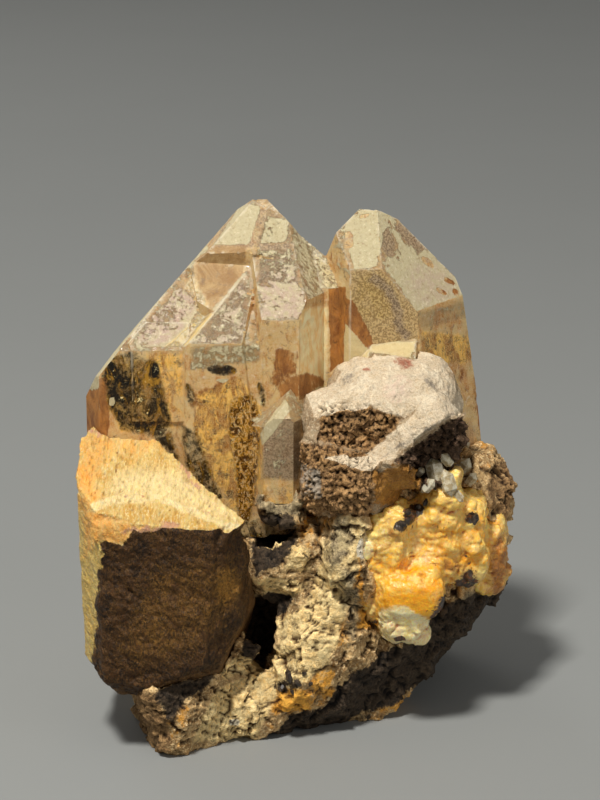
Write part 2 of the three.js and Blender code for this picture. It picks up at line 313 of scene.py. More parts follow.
def closed_up(piece, reach, voxel):
    """Fills the narrow creases of a piece."""
    for way in (reach, -reach):
        remeshed(piece, voxel)
        points = places_of(piece.data)
        normals = normals_of(piece.data)
        put(piece.data, points + way * normals)


def values_of(items, name, width, kind=float):
    """What each vertex, edge or face of a mesh holds under a name, in rows of a width."""
    flat = np.empty(len(items) * width, kind)
    items.foreach_get(name, flat)
    return flat.reshape(-1, width)


def places_of(mesh):
    return values_of(mesh.vertices, "co", 3) / MM


def normals_of(mesh):
    return values_of(mesh.vertices, "normal", 3)


def edges_of(mesh):
    return values_of(mesh.edges, "vertices", 2, int)


def put(mesh, points):
    mesh.vertices.foreach_set("co", (points * MM).ravel())
    mesh.update()


def averaged(values, edges):
    """Each value's mean over its neighbours."""
    count = len(values)
    degree = np.bincount(edges.ravel(), minlength=count)
    columns = values.reshape(count, -1).T
    total = [
        np.bincount(edges[:, 0], weights=column[edges[:, 1]], minlength=count)
        + np.bincount(edges[:, 1], weights=column[edges[:, 0]], minlength=count)
        for column in columns
    ]
    mean = np.stack(total, axis=1) / np.maximum(degree, 1)[:, None]
    return mean.reshape(values.shape)


def smoothed(values, edges, rounds):
    for _ in range(rounds):
        values = averaged(values, edges)
    return values


def relaxed(points, edges, rounds):
    """Smooths without shrinking."""
    for _ in range(rounds):
        for pull in (0.55, -0.58):
            points = points + pull * (averaged(points, edges) - points)
    return points


def paint(mesh, masks, domain="POINT"):
    """Stores each mask on the mesh for its material to read."""
    for name, values in masks.items():
        layer = mesh.attributes.new(name, "FLOAT", domain)
        layer.data.foreach_set("value", np.clip(values, 0, 1).astype(np.float32))


def finish_piece(piece, node, material):
    piece.data.materials.append(material)
    piece.data.shade_smooth()
    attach(piece, "root")
    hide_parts(node)


# ---------------------------------------------------------------- shader expressions


# A mask covers the ground where its value times the gain lifts a noise past the start.
COVER_GAIN = 0.56
COVER_START = 0.78


class Wire:
    """One socket of a material. Arithmetic on it adds Math nodes."""

    def __init__(self, bench, socket):
        self.bench = bench
        self.socket = socket

    def math(self, operation, *others):
        values = {0: self}
        values.update({place: other for place, other in enumerate(others, 1)})
        return self.bench.node("ShaderNodeMath", {"operation": operation}, values)

    def __add__(self, other):
        return self.math("ADD", other)

    __radd__ = __add__

    def __sub__(self, other):
        return self.math("SUBTRACT", other)

    def __rsub__(self, other):
        return self.math("MULTIPLY_ADD", -1.0, other)

    def __mul__(self, other):
        return self.math("MULTIPLY", other)

    __rmul__ = __mul__

    def most(self, other):
        return self.math("MAXIMUM", other)

    def least(self, other):
        return self.math("MINIMUM", other)

    def ramp(self, low, high, start=0.0, end=1.0):
        return self.bench.node(
            "ShaderNodeMapRange",
            {"interpolation_type": "SMOOTHSTEP"},
            {0: self, 1: low, 2: high, 3: start, 4: end},
        )

    def line(self, width, middle=0.5):
        """1 where a noise is at its middle value, which makes wandering lines."""
        return (self - middle).math("ABSOLUTE").ramp(0.0, width, 1.0, 0.0)

    def covers(self, noise, width):
        """Where this mask's share of a noise is covered, with ragged edges."""
        return (noise + self * COVER_GAIN - COVER_START).ramp(-width, width)


class Bench:
    """A material under construction."""

    def __init__(self, name):
        self.material = bpy.data.materials.new(name)
        self.material.use_nodes = True
        self.tree = self.material.node_tree
        self.tree.nodes.clear()
        self.output = self.tree.nodes.new("ShaderNodeOutputMaterial")
        self.place = self.node("ShaderNodeTexCoord", out="Object")

    def node(self, kind, settings=None, values=None, out=0):
        made = self.tree.nodes.new(kind)
        for key, value in (settings or {}).items():
            setattr(made, key, value)
        for key, value in (values or {}).items():
            socket = made.inputs[key]
            if isinstance(value, Wire):
                self.tree.links.new(value.socket, socket)
            elif socket.type == "RGBA":
                socket.default_value = (*value, 1.0)
            else:
                socket.default_value = value
        return Wire(self, made.outputs[out])

    def mask(self, name):
        return self.node("ShaderNodeAttribute", {"attribute_name": name}, out="Fac")

    def drawn_out(self, times, turn=0.0):
        """Places for features that are longer along each axis, and then turned about Y."""
        values = {"Vector": self.place, "Rotation": (0.0, math.radians(turn), 0.0), "Scale": times}
        return self.node("ShaderNodeMapping", {"vector_type": "TEXTURE"}, values)

    def noise(self, size, detail, roughness, along=None, distortion=0.0):
        """Noise with features about `size` mm across."""
        values = {
            "Vector": along or self.place,
            "Scale": 1 / (size * MM),
            "Detail": detail,
            "Roughness": roughness,
            "Distortion": distortion,
        }
        return self.node("ShaderNodeTexNoise", None, values)

    def blend(self, share, first, second, way="MIX"):
        settings = {"data_type": "RGBA", "blend_type": way}
        return self.node("ShaderNodeMix", settings, {0: share, 6: first, 7: second}, out=2)

    def mix(self, share, first, second, way="MIX"):
        """Blends colours. A plain colour is given as the eye reads it, 0 to 255."""
        first, second = (tint(*c) if isinstance(c, tuple) else c for c in (first, second))
        return self.blend(share, first, second, way)

    def over(self, ground, *layers):
        """Lays colours over a ground, each by its share."""
        for share, colour in layers:
            ground = self.mix(share, ground, colour)
        return ground

    def bump(self, height, strength, distance):
        values = {"Height": height, "Strength": strength, "Distance": distance * MM}
        return self.node("ShaderNodeBump", None, values)

    def principled(self, values):
        return self.node("ShaderNodeBsdfPrincipled", None, values)

    def finish(self, surface, volume=None):
        self.tree.links.new(surface.socket, self.output.inputs["Surface"])
        if volume:
            self.tree.links.new(volume.socket, self.output.inputs["Volume"])
        return self.material


def tint(red, green, blue):
    """A colour as the eye reads it, 0 to 255, turned to the values that shaders use."""
    parts = (red / 255, green / 255, blue / 255)
    return tuple(p / 12.92 if p <= 0.04045 else ((p + 0.055) / 1.055) ** 2.4 for p in parts)


# ---------------------------------------------------------------- user values


def size_value(name, text, default, low, high=2.0):
    """A user value for a length in mm."""
    return bpy.props.FloatProperty(
        name=name, description=f"{text}, mm", default=default, min=low, max=high
    )


def colour_value(name, text, default):
    """A user value for a colour."""
    return bpy.props.FloatVectorProperty(
        name=name, description=text, subtype="COLOR", default=default
    )


class QuartzValues(bpy.types.PropertyGroup):
    face_size: size_value("Face size", "Size of the even faces", 0.5, 0.3)
    smoke: colour_value("Smoke", "Colour of the light that gets through", (0.9, 0.66, 0.36))
    smoke_density: bpy.props.FloatProperty(
        name="Smoke density", description="How fast light dims inside, per metre",
        default=60.0, min=0.0,
    )
    relief: size_value("Growth relief", "Height of the growth hillocks", 0.07, 0.0, 0.5)


class RockValues(bpy.types.PropertyGroup):
    block_face: size_value("Block face size", "Size of the block's even faces", 0.32, 0.3)
    knob_face: size_value("Knob face size", "Size of the knob's even faces", 0.26, 0.2)
    stained_face: size_value("Stained face size", "Size of the lumps' faces", 0.28, 0.2)
    matrix_face: size_value("Matrix face size", "Size of the matrix's even faces", 0.52, 0.3)


class StageValues(bpy.types.PropertyGroup):
    floor_colour: colour_value("Floor colour", "Colour of the floor", (0.272, 0.282, 0.275))


# ---------------------------------------------------------------- the quartz

QUARTZ_IOR = 1.544
# Angle between faces, in degrees, from which an edge of the quartz is sharp.
SHARP_EDGE = 24

# Each patch: which way the surface looks there, its outline in the view's frame as x, y, x, y and
# so on, and for each mask that it adds to, its strength and how soft its edge is.
QUARTZ_MARKS = (
    # The left crystal's cap and the bright strip down its left slope.
    ("slope", (236, 209, 247, 203, 262, 208, 251, 246, 210, 248), ("coat", 0.86, 1.5)),
    ("slope", (240, 198, 262, 198, 262, 208, 236, 208), ("coat", 0.3, 2)),
    ("slope", (266, 214, 289, 220, 290, 236, 284, 245, 258, 245), ("crust", 0.64, 3)),
    ("slope", band(264, 205, 260, 222, 252, 246, width=6), ("bare", 1, 1)),
    ("slope", band(238, 206, 224, 226, 208, 247, width=5), ("bare", 0.8, 1.5)),
    ("slope", band(208, 248, 250, 247, 290, 246, width=5), ("bare", 0.8, 1.5)),
    ("slope", (236, 200, 292, 214, 294, 250, 206, 250), ("dusk", 0.6, 4)),
    ("left", (238, 200, 246, 208, 135, 337, 116, 360, 97, 390, 80, 394, 80, 380, 190, 252),
     ("coat", 0.97, 1)),
    # The plate below the break.
    ("slope", (180, 286, 200, 300, 184, 326, 163, 344, 138, 344, 134, 334, 167, 297),
     ("crust", 0.57, 3), ("pink", 1, 4)),
    ("slope", (181, 292, 203, 303, 186, 330, 165, 347, 140, 347, 160, 338, 178, 326, 196, 303),
     ("coat", 0.8, 1)),
    ("slope", (181, 281, 194, 276, 204, 290, 198, 298), ("honey", 0.9, 2)),
    ("slope", (199, 294, 206, 294, 213, 314, 186, 346, 165, 346, 186, 328, 203, 308),
     ("honey", 1, 1.5)),
    # The broken step, brown and glassy.
    ("front", (213, 246, 247, 246, 244, 272, 211, 309, 205, 294, 198, 289, 194, 260),
     ("brown", 0.95, 2)),
    ("front", oval(214, 290, 7, 14, -20), ("rust", 0.55, 4)),
    # The crystal in front.
    ("slope", (243, 276, 250, 290, 249, 346, 190, 346, 188, 343), ("dusk", 0.6, 5),
     ("crust", 0.51, 4), ("pink", 0.7, 5)),
    ("slope", band(245, 273, 215, 310, 184, 349, width=4.5), ("coat", 0.9, 0.8)),
    ("wall", (190, 346, 262, 342, 262, 362, 190, 372), ("crust", 0.5, 4)),
    ("slope", (250, 326, 262, 325, 282, 352, 250, 346), ("crust", 0.45, 3)),
    # The middle crystal.
    ("slope", (259, 244, 291, 240, 299, 266, 300, 285, 256, 285), ("dusk", 0.75, 5),
     ("crust", 0.5, 5)),
    ("slope", (257, 282, 300, 278, 309, 308, 299, 322, 258, 321), ("crust", 0.62, 7)),
    ("slope", (257, 270, 300, 266, 309, 308, 299, 322, 258, 321), ("pink", 0.9, 8)),
    ("slope", (289, 222, 307, 236, 330, 262, 345, 288, 327, 308, 309, 309, 303, 294, 294, 257),
     ("dusk", 0.5, 5), ("hatch", 0.54, 4)),
    ("wall", (258, 322, 300, 322, 300, 345, 262, 350), ("crust", 0.3, 4)),
    ("wall", (300, 308, 327, 306, 327, 384, 312, 400, 300, 380), ("honey", 1, 2)),
    ("wall", (276, 345, 300, 350, 300, 410, 280, 400, 268, 380), ("rust", 0.62, 6)),
    ("wall", oval(300, 385, 26, 12, -10), ("rust", 0.72, 5)),
    ("front", (322, 264, 345, 280, 345, 287, 326, 287), ("honey", 0.3, 2)),
    ("wall", (328, 286, 347, 286, 347, 372, 330, 372), ("rust", 0.86, 1.5)),
    # The right crystal.
    ("slope", oval(388, 244, 6, 14, -10), ("bare", 0.55, 4)),
    ("slope", band(398, 222, 412, 238, 424, 252, width=14), ("bare", 0.5, 4)),
    ("slope", band(398, 222, 412, 238, 424, 252, width=16), ("dusk", 0.9, 4)),
    ("slope", oval(388, 244, 8, 16, -10), ("dusk", 0.9, 4)),
    ("slope", oval(349, 240, 4, 9), ("bare", 0.8, 1.5)),
    ("slope", oval(364, 216, 5, 2, -20), ("bare", 0.8, 1)),
    ("slope", (345, 222, 392, 214, 425, 245, 420, 275, 353, 270), ("dusk", 0.5, 5)),
    ("slope", (345, 222, 352, 214, 368, 206, 384, 206, 392, 214, 384, 240, 378, 268, 353, 270,
     346, 250), ("coat", 0.76, 3)),
    ("slope", (390, 212, 411, 230, 425, 250, 400, 268, 380, 266, 386, 236), ("coat", 0.6, 4)),
    ("slope", (384, 225, 428, 248, 410, 274, 380, 266), ("crust", 0.3, 4)),
    ("slope", (384, 268, 400, 262, 412, 236, 424, 244, 462, 282, 466, 300, 448, 309, 417, 313),
     ("coat", 0.8, 3)),
    ("slope", oval(430, 285, 26, 22, 40), ("pink", 0.6, 8)),
    ("slope", oval(449, 281, 6, 2.2, 35), ("bare", 0.9, 1)),
    ("slope", oval(441, 291, 6, 2, 25), ("bare", 0.9, 1)),
    ("slope", oval(456, 293, 4, 2.2, 40), ("bare", 0.9, 1)),
    ("slope", oval(428, 262, 8, 3, 40), ("bare", 0.8, 1.5)),
    ("slope", oval(448, 286, 14, 9, 40), ("rust", 0.7, 5)),
    ("left", (325, 258, 340, 234, 350, 226, 353, 270, 353, 280), ("coat", 0.7, 2)),
    ("left", oval(334, 256, 5, 8, 20), ("bare", 0.8, 2)),
    ("left", oval(343, 262, 3, 4), ("bare", 0.8, 2)),
    ("left", (325, 258, 340, 238, 346, 255, 340, 268), ("rust", 0.6, 4)),
    ("wall", (350, 270, 380, 266, 420, 312, 419, 343, 372, 346, 350, 310), ("frost", 0.95, 3)),
    ("wall", oval(374, 298, 20, 24, -10), ("olive", 0.7, 6)),
    ("wall", band(370, 276, 388, 288, 398, 312, 400, 330, 412, 338, width=13), ("dusk", 0.66, 5)),
    # A darker orange-brown strip on the bevel: rust stain, with a painted shadow line cast by the
    # ledge.
    ("wall", (344, 296, 353, 300, 372, 336, 374, 347, 367, 350, 344, 322), ("rust", 0.8, 2)),
    ("slope", (371, 344, 418, 340, 409, 358, 368, 352), ("coat", 0.96, 1.5), ("honey", 0.5, 3)),
    ("front", (345, 322, 370, 350, 369, 380, 342, 375), ("coat", 0.75, 1.5), ("honey", 0.5, 3)),
    ("wall", (418, 312, 466, 298, 470, 318, 420, 330), ("crust", 0.42, 4)),
    ("wall", (420, 330, 472, 334, 476, 362, 440, 366, 420, 352), ("gold", 0.78, 6)),
    ("wall", oval(478, 400, 7, 34, -6), ("rust", 0.5, 4)),
    ("wall", oval(460, 372, 5, 14, -6), ("rust", 0.45, 4)),
    ("wall", oval(470, 440, 12, 20, -6), ("dusk", 0.5, 6)),
    # The dark inclusions and the gold sparkle low in the left group.
    ("wall", (108, 352, 136, 348, 160, 362, 174, 420, 182, 470, 150, 440, 118, 430, 102, 400, 100,
     372), ("dark", 0.6, 8)),
    ("wall", (176, 420, 200, 430, 226, 500, 210, 506, 186, 470), ("dark", 0.58, 6)),
    ("wall", (84, 386, 112, 372, 108, 438, 84, 440), ("rust", 0.8, 3)),
    ("wall", (110, 352, 160, 362, 176, 430, 120, 432, 104, 400), ("gold", 0.8, 6)),
    ("wall", (140, 350, 184, 352, 186, 420, 166, 410), ("gold", 0.6, 6)),
    ("wall", oval(222, 370, 16, 7, 8), ("dark", 0.62, 3)),
    ("wall", oval(190, 396, 6, 16, -12), ("dark", 0.55, 3)),
    ("wall", oval(262, 395, 5, 16, -12), ("dark", 0.55, 3)),
    ("wall", (196, 396, 240, 376, 262, 410, 262, 470, 252, 520, 240, 520, 206, 470, 192, 430),
     ("gold", 0.85, 6)),
    ("wall", (186, 392, 236, 374, 246, 420, 220, 450, 192, 450), ("rust", 0.52, 8)),
    ("wall", (230, 400, 252, 394, 262, 420, 258, 470, 250, 520, 238, 520, 236, 470, 228, 430),
     ("spark", 0.9, 5)),
    # A painted glint, in the crust's colour.
    ("wall", oval(112, 402, 3.5, 4), ("coat", 1, 1)),
    ("wall", oval(222, 381, 6, 2.5), ("coat", 0.9, 1)),
    # The blade crystal.
    ("front", (286, 399, 292, 409, 272, 435, 261, 446, 260, 433, 275, 411), ("coat", 0.97, 1)),
    ("wall", (292, 409, 300, 414, 300, 480, 262, 480, 262, 446, 273, 436), ("crust", 0.4, 4)),
    ("wall", (262, 420, 290, 398, 302, 420, 300, 480, 262, 480, 262, 448), ("dusk", 0.9, 6)),
)


# Two faces whose normals agree this well are one flat face.
SAME_FACE = 0.995


def snapped(points, solid, voxel):
    """Puts each point exactly on the flat faces, edges and corners that it is beside. Also says
    which points are on an edge."""
    tree = BVHTree.FromBMesh(solid)
    near = voxel * 0.75
    on_edge = np.zeros(len(points))
    placed = points.copy()
    for index, point in enumerate(points):
        found = tree.find_nearest_range(Vector(point * MM), near * MM)
        normals, reaches = [], []
        for location, normal, _, _ in found:
            normal = np.array(normal)
            if all(normal @ other < SAME_FACE for other in normals):
                normals.append(normal)
                reaches.append(normal @ np.array(location) / MM)
        if not normals:
            continue
        rows = np.array(normals)
        move = np.linalg.pinv(rows, rcond=0.25) @ (np.array(reaches) - rows @ point)
        length = np.linalg.norm(move)
        if length > voxel:
            move *= voxel / length
        placed[index] = point + move
        if len(normals) > 1:
            on_edge[index] = 1 - max(rows[0] @ other for other in rows[1:])
    return placed, on_edge


def corners_of(mesh):
    """Which vertex each face corner is at, and the way that its face looks."""
    vertex = values_of(mesh.loops, "vertex_index", 1, int).ravel()
    ways = values_of(mesh.polygons, "normal", 3)
    sides = values_of(mesh.polygons, "loop_total", 1, int).ravel()
    return vertex, np.repeat(ways, sides, axis=0)


def quartz_masks(points, ways):
    front = ramp(-ways[:, 1], -0.1, 0.12)
    slope = ramp(ways[:, 2], 0.3, 0.42)
    facing = {
        "front": front,
        "slope": front * slope,
        "wall": front * (1 - slope),
        "left": ramp(-ways[:, 0], 0.45, 0.6) * ramp(ways[:, 2], -0.2, 0.1),
    }
    masks = marked(QUARTZ_MARKS, unsteady(points, 2.4, 1.6), facing)
    open_ground = (1 - masks.pop("bare")) * (1 - masks["brown"])
    for name in ("coat", "crust"):
        masks[name] = masks[name] * open_ground
    wander = rough(points, 6.0, 3, 11)
    hidden = 1 - front
    thin = (0.44 + 0.1 * wander) * facing["slope"] * open_ground
    low = ramp(66 - points[:, 2], 0, 16)
    foot = ramp(54 - points[:, 2], 0, 12)
    raise_to(
        masks,
        crust=np.maximum(thin, hidden * slope * (0.62 + 0.4 * wander)),
        coat=hidden * slope * (0.42 + 0.5 * rough(points, 9, 2, 5)),
        pink=hidden * 0.5,
        dusk=0.45 * facing["slope"],
        gold=0.55 * low * (0.8 + 0.5 * wander),
        rust=hidden * (1 - slope) * (0.36 + 0.42 * wander),
        dark=(0.62 - 0.22 * hidden + 0.2 * wander) * foot,
        frost=0.35 * hidden,
    )
    return masks


def quartz_material(values):
    bench = Bench("smoky quartz")
    grit = bench.noise(0.4, 4, 0.65)
    patch = bench.noise(1.7, 10, 0.8, distortion=0.4)
    plates = bench.noise(2.6, 8, 0.64, distortion=0.9)
    hatching = bench.noise(0.7, 8, 0.75, bench.drawn_out((1.0, 1.0, 4.0), -42), 0.4)
    upright = bench.noise(2.4, 9, 0.72, bench.drawn_out((1.0, 1.0, 2.2)), 0.8)
    veil = bench.noise(5.0, 9, 0.74, bench.drawn_out((1.0, 1.0, 1.5)), 0.8)
    foil = bench.noise(1.1, 6, 0.7, bench.drawn_out((1.0, 1.0, 1.5)), 2.0)
    fuzz = bench.noise(0.9, 9, 0.85)

    crust = bench.mask("crust").covers(fuzz * 0.55 + plates * 0.45, 0.02)
    crust = crust.most(bench.mask("hatch").covers(hatching * 0.7 + fuzz * 0.3, 0.02))
    coat = bench.mask("coat").covers(plates * 0.7 + patch * 0.3, 0.02)
    solid = crust.most(coat)
    pink = bench.mask("pink")
    rust = bench.mask("rust").covers(upright * 0.5 + veil * 0.5, 0.06)
    gold = bench.mask("gold").covers(patch * 0.4 + veil * 0.6, 0.12)
    dark = bench.mask("dark").covers(patch * 0.5 + veil * 0.5, 0.07)
    brown = bench.mask("brown")
    honey = bench.mask("honey")
    frost = bench.mask("frost")
    dusk = bench.mask("dusk").covers(veil * 0.4 + patch * 0.6, 0.15)
    spark = bench.mask("spark").covers(foil * 0.5 + patch * 0.5, 0.06)
    edge = bench.mask("edge")

    bright = bench.mix(upright.ramp(0.4, 0.62), (255, 246, 200), (250, 214, 146))
    speckled = bench.mix(grit.ramp(0.42, 0.58), (150, 122, 78), (206, 178, 126))
    green = bench.mix(grit.ramp(0.42, 0.58), (142, 112, 54), (202, 172, 104))
    speckled = bench.mix(bench.mask("olive") * veil.ramp(0.35, 0.6), speckled, green)
    ashy = bench.mix(grit.ramp(0.4, 0.6), (104, 86, 68), (176, 154, 126))
    rusty = bench.mix(upright.ramp(0.36, 0.64), (186, 120, 48), (128, 74, 28))
    rusty = bench.mix(patch.ramp(0.46, 0.36) * 0.7, rusty, (84, 48, 20))
    golden = bench.mix(upright.ramp(0.42, 0.58), (246, 190, 80), (158, 98, 28))
    golden = bench.mix(patch.ramp(0.48, 0.42) * 0.9, golden, (70, 42, 12))
    golden = bench.mix(fuzz.line(0.03) * 0.7, golden, (250, 220, 150))
    # The gold sparkle: dark to gold foil colour, with thin lines of painted glint.
    foil_and_glints = bench.mix((foil * 0.5 + patch * 0.5).ramp(0.45, 0.55), (92, 54, 12), (236, 172, 60))
    foil_and_glints = bench.mix(foil.line(0.025, 0.57), foil_and_glints, (255, 246, 200))
    glassy = bench.mix(veil.ramp(0.35, 0.6), (196, 164, 112), (162, 122, 72))
    glassy = bench.mix(patch.ramp(0.48, 0.38) * 0.5, glassy, (120, 106, 92))
    # The dark inclusions, black to gold, with painted glints where a noise is high.
    inclusions_and_glints = bench.mix((upright * 0.7 + patch * 0.3).ramp(0.5, 0.62), (12, 8, 4), (176, 130, 40))
    inclusions_and_glints = bench.mix(patch.ramp(0.6, 0.64), inclusions_and_glints, (250, 232, 170))
    body = bench.over(
        bench.mix(veil.ramp(0.35, 0.65), (246, 212, 144), (212, 162, 90)),
        (upright.ramp(0.5, 0.62) * 0.8, (204, 134, 50)),
        (patch.ramp(0.52, 0.66) * 0.8, (242, 220, 184)),
        (patch.ramp(0.46, 0.36) * 0.8, (128, 92, 54)),
        (fuzz.line(0.025) * 0.6, (246, 230, 198)),
        (honey * (1 - solid) * 0.9, bright),
        (frost, speckled),
        (dusk * 0.85, ashy),
        (rust * 0.9, rusty),
        (gold * 0.9, golden),
        (spark, foil_and_glints),
        (brown, glassy),
        (dark, inclusions_and_glints),
    )
    cream = bench.over(
        bench.mix(pink * patch.ramp(0.38, 0.6), (200, 187, 148), (196, 168, 150)),
        (fuzz.ramp(0.46, 0.4) * 0.8, (168, 142, 106)),
        (fuzz.ramp(0.54, 0.62) * 0.7, (236, 224, 190)),
        (honey, (232, 204, 140)),
    )
    between = bench.mask("crust").most(bench.mask("hatch")).ramp(0.2, 0.6)
    between = between * (1 - frost) * 0.55
    dusty = bench.mix(fuzz.ramp(0.42, 0.58), (108, 84, 58), (172, 144, 106))
    # The pale edge lines are crust with a painted highlight.
    colour = bench.over(body, (between, dusty), (solid, cream), (edge * 0.75, (226, 214, 186)))

    cloud = veil.ramp(0.35, 0.65) * 0.2 + frost * 0.3 + gold * 0.2 + rust * 0.15
    cover = cloud + brown * 0.2 + dusk * 0.2 + honey * 0.26 + 0.72
    cover = cover.most(solid * 0.98).most(spark * 0.9).most(edge * 0.8).least(0.98)

    bumped = bench.bump(solid * 0.6 + patch * 0.9 + grit * 0.25 + spark * foil * 5.0, 0.8, 0.35)
    gloss = bench.bump(veil * 0.7 + grit * 0.12 + upright * 0.5 + spark * foil * 2.0, 0.5, 0.35)
    surface = {
        "Base Color": colour,
        "Roughness": (solid * 0.25 + frost * 0.2 + 0.5 - spark * 0.3 - dark * 0.3).least(0.9),
        "IOR": 1.5,
        "Specular IOR Level": 0.35,
        "Subsurface Weight": 0.2,
        "Subsurface Radius": (1.0, 0.75, 0.45),
        "Subsurface Scale": 1.0 * MM,
        "Normal": bumped,
    }
    coated = bench.principled(surface)
    inner = {
        "Base Color": (0.97, 0.9, 0.8),
        "Roughness": frost * 0.3 + 0.08,
        "IOR": QUARTZ_IOR,
        "Transmission Weight": 1.0,
        "Normal": gloss,
    }
    clear = bench.principled(inner)
    both = bench.node("ShaderNodeMixShader", None, {0: cover, 1: clear, 2: coated})
    smoke = {"Color": tuple(values.smoke), "Density": values.smoke_density}
    return bench.finish(both, bench.node("ShaderNodeVolumeAbsorption", None, smoke))


class SPECIMEN_OT_quartz(bpy.types.Operator):
    """Builds the quartz crystals"""

    bl_idname = "specimen.quartz"
    bl_label = "Quartz Crystals"

    def execute(self, context):
        values = context.scene.specimen_quartz
        piece = dense("quartz_crystals", "smoky_quartz", values.face_size)
        solid = bmesh.new()
        solid.from_mesh(merged_copy("quartz_crystals"))
        mesh = piece.data
        points, on_edge = snapped(places_of(mesh), solid, values.face_size)
        solid.free()
        put(mesh, points)
        edges = edges_of(mesh)
        normals = normals_of(mesh)
        corner, ways = corners_of(mesh)
        masks = quartz_masks(points[corner], ways)
        flat = 1 - ramp(averaged(on_edge, edges) + on_edge, 0.0, 0.25)
        hills = rough(points, 4.5, 3, 3)
        upright = ramp(1 - abs(normals[:, 2]), 0.6, 0.95)
        growth = np.sin(points[:, 2] * 2.4 + 2.5 * swell(points, 6, 5)) * upright
        chips = ramp(rough(points, 2.2, 3, 77), 0.25, 0.6) * ramp(on_edge, 0.05, 0.3)
        relief = values.relief * (hills + 0.35 * growth) * flat - 0.3 * chips
        put(mesh, points + normals * relief[:, None])
        # Pale lines on the upper crystals' edges that look up: crusted edges with a painted
        # highlight.
        outward = ramp(on_edge, 0.05, 0.4) * ramp(normals[:, 2], 0.2, 0.5)
        edge = outward * ramp(points[:, 2], 70, 84) * ramp(rough(points, 3.0, 2, 9), -0.4, 0.2)
        paint(mesh, masks, "CORNER")
        paint(mesh, {"edge": edge})
        finish_piece(piece, "quartz_crystals", quartz_material(values))
        mesh.set_sharp_from_angle(angle=math.radians(SHARP_EDGE))
        return {"FINISHED"}


# ---------------------------------------------------------------- the rock


# A point that is this far, in mm, under or over its surroundings starts to take painted shade
# as a hollow or a painted highlight as a crest, and is wholly so at the second number.
DEPTHS = (0.03, 0.3)
# How much softer the edges of the patches on the rock are than the tables say.
ROCK_SPREAD = 1.8


def displaced(piece, rounds, height, looks):
    """Relaxes a piece, moves its surface out by the height that a function gives, and stores the
    masks that another function gives."""
    mesh = piece.data
    edges = edges_of(mesh)
    points = relaxed(places_of(mesh), edges, rounds)
    put(mesh, points)
    normals = smoothed(normals_of(mesh), edges, 4)
    normals /= np.maximum(np.linalg.norm(normals, axis=1), 1e-6)[:, None]
    moved = points + normals * height(points, normals)[:, None]
    moved[:, 2] = np.maximum(moved[:, 2], 0.0)
    put(mesh, moved)
    hollow = ((smoothed(moved, edges, 3) - moved) * normals).sum(axis=1)
    masks = looks(points, normals)
    # Painted shade in the hollows and a painted highlight on the crests, by how far each point
    # lies under or over its surroundings.
    masks["deep"] = ramp(hollow, *DEPTHS)
    masks["crest"] = ramp(-hollow, *DEPTHS)
    paint(mesh, masks)


def rock_facing(points, normals):
    front = ramp(-normals[:, 1], -0.45, -0.1)
    return {
        "any": np.ones(len(points)),
        "front": front,
        "top": ramp(normals[:, 2], 0.5, 0.72),
        "wall": front * ramp(-normals[:, 2], -0.72, -0.5),
    }


def rock_masks(table, points, normals, size, amount):
    """The masks of a table, with edges that wander, and how far each point looks each way."""
    facing = rock_facing(points, normals)
    return marked(table, unsteady(points, size, amount), facing, ROCK_SPREAD), facing


def rock_material(recipe):
    """A broken rock surface: a ground of three colours, and layers of (mask, two colours,
    sharpness, smoothness) over it."""
    bench = Bench(recipe["name"])
    grain, roughness = recipe["grain"], recipe["roughness"]
    stretch = bench.drawn_out(recipe["along"])
    broad = bench.noise(4.2 * grain, 8, 0.7, stretch, 0.5)
    patch = bench.noise(1.7 * grain, 10, 0.78, stretch, 0.3)
    fine = bench.noise(0.45 * grain, 5, 0.7, stretch)
    shades = broad * 0.5 + patch * 0.5
    shading = fine.ramp(0.4, 0.6) * 0.5 + shades.ramp(0.4, 0.6) * 0.5
    ragged = patch * 0.6 + broad * 0.4

    base, shaded, light = recipe["ground"]
    colour = bench.mix(shades.ramp(0.42, 0.58), base, shaded)
    colour = bench.mix(fine.ramp(0.5, 0.64), colour, light)
    glosses = []
    for mask, first, second, width, smooth in recipe["layers"]:
        share = bench.mask(mask).covers(ragged, width)
        colour = bench.mix(share, colour, bench.mix(shading, first, second))
        if smooth:
            glosses.append(share * smooth)
    gloss = functools.reduce(Wire.most, glosses)
    colour = bench.mix(fine.ramp(0.44, 0.34) * 0.5, colour, recipe["grit"], "MULTIPLY")
    vein, width, share = recipe["veins"]
    colour = bench.mix(broad.line(width) * share, colour, vein)
    # Painted shade: the hollows and the low spots of a noise are darkened by the shade colour.
    low = patch.ramp(0.49, 0.36) * recipe["pit_shade"]
    low = (bench.mask("deep") + low).least(1.0)
    colour = bench.mix(low, colour, recipe["deep"], "MULTIPLY")
    # Painted highlight: crests and the high spots of a noise are lightened.
    crest = (bench.mask("crest") * 0.6 + patch.ramp(0.52, 0.66) * 0.5).least(1.0)
    colour = bench.mix(crest * recipe["crest_highlight"], colour, colour, "ADD")
    chipped = bench.noise(1.2 * grain, 4, 0.55, stretch)
    bumped = bench.bump(fine * 0.15 + chipped, recipe["bump"], 1.0 * grain)
    values = {
        "Base Color": colour,
        "Roughness": gloss * (0.2 - roughness) + roughness,
        "Specular IOR Level": recipe["shine"],
        "Subsurface Weight": recipe["soft_light"],
        "Subsurface Radius": (1.0, 0.6, 0.2),
        "Subsurface Scale": 1.0 * MM,
        "Normal": bumped,
    }
    return bench.finish(bench.principled(values))


def dress_rock(piece, node, recipe, height, looks):
    """Gives a rock piece its surface and its material, in the place of its node."""
    displaced(piece, recipe["rounds"], height, looks)
    finish_piece(piece, node, rock_material(recipe))


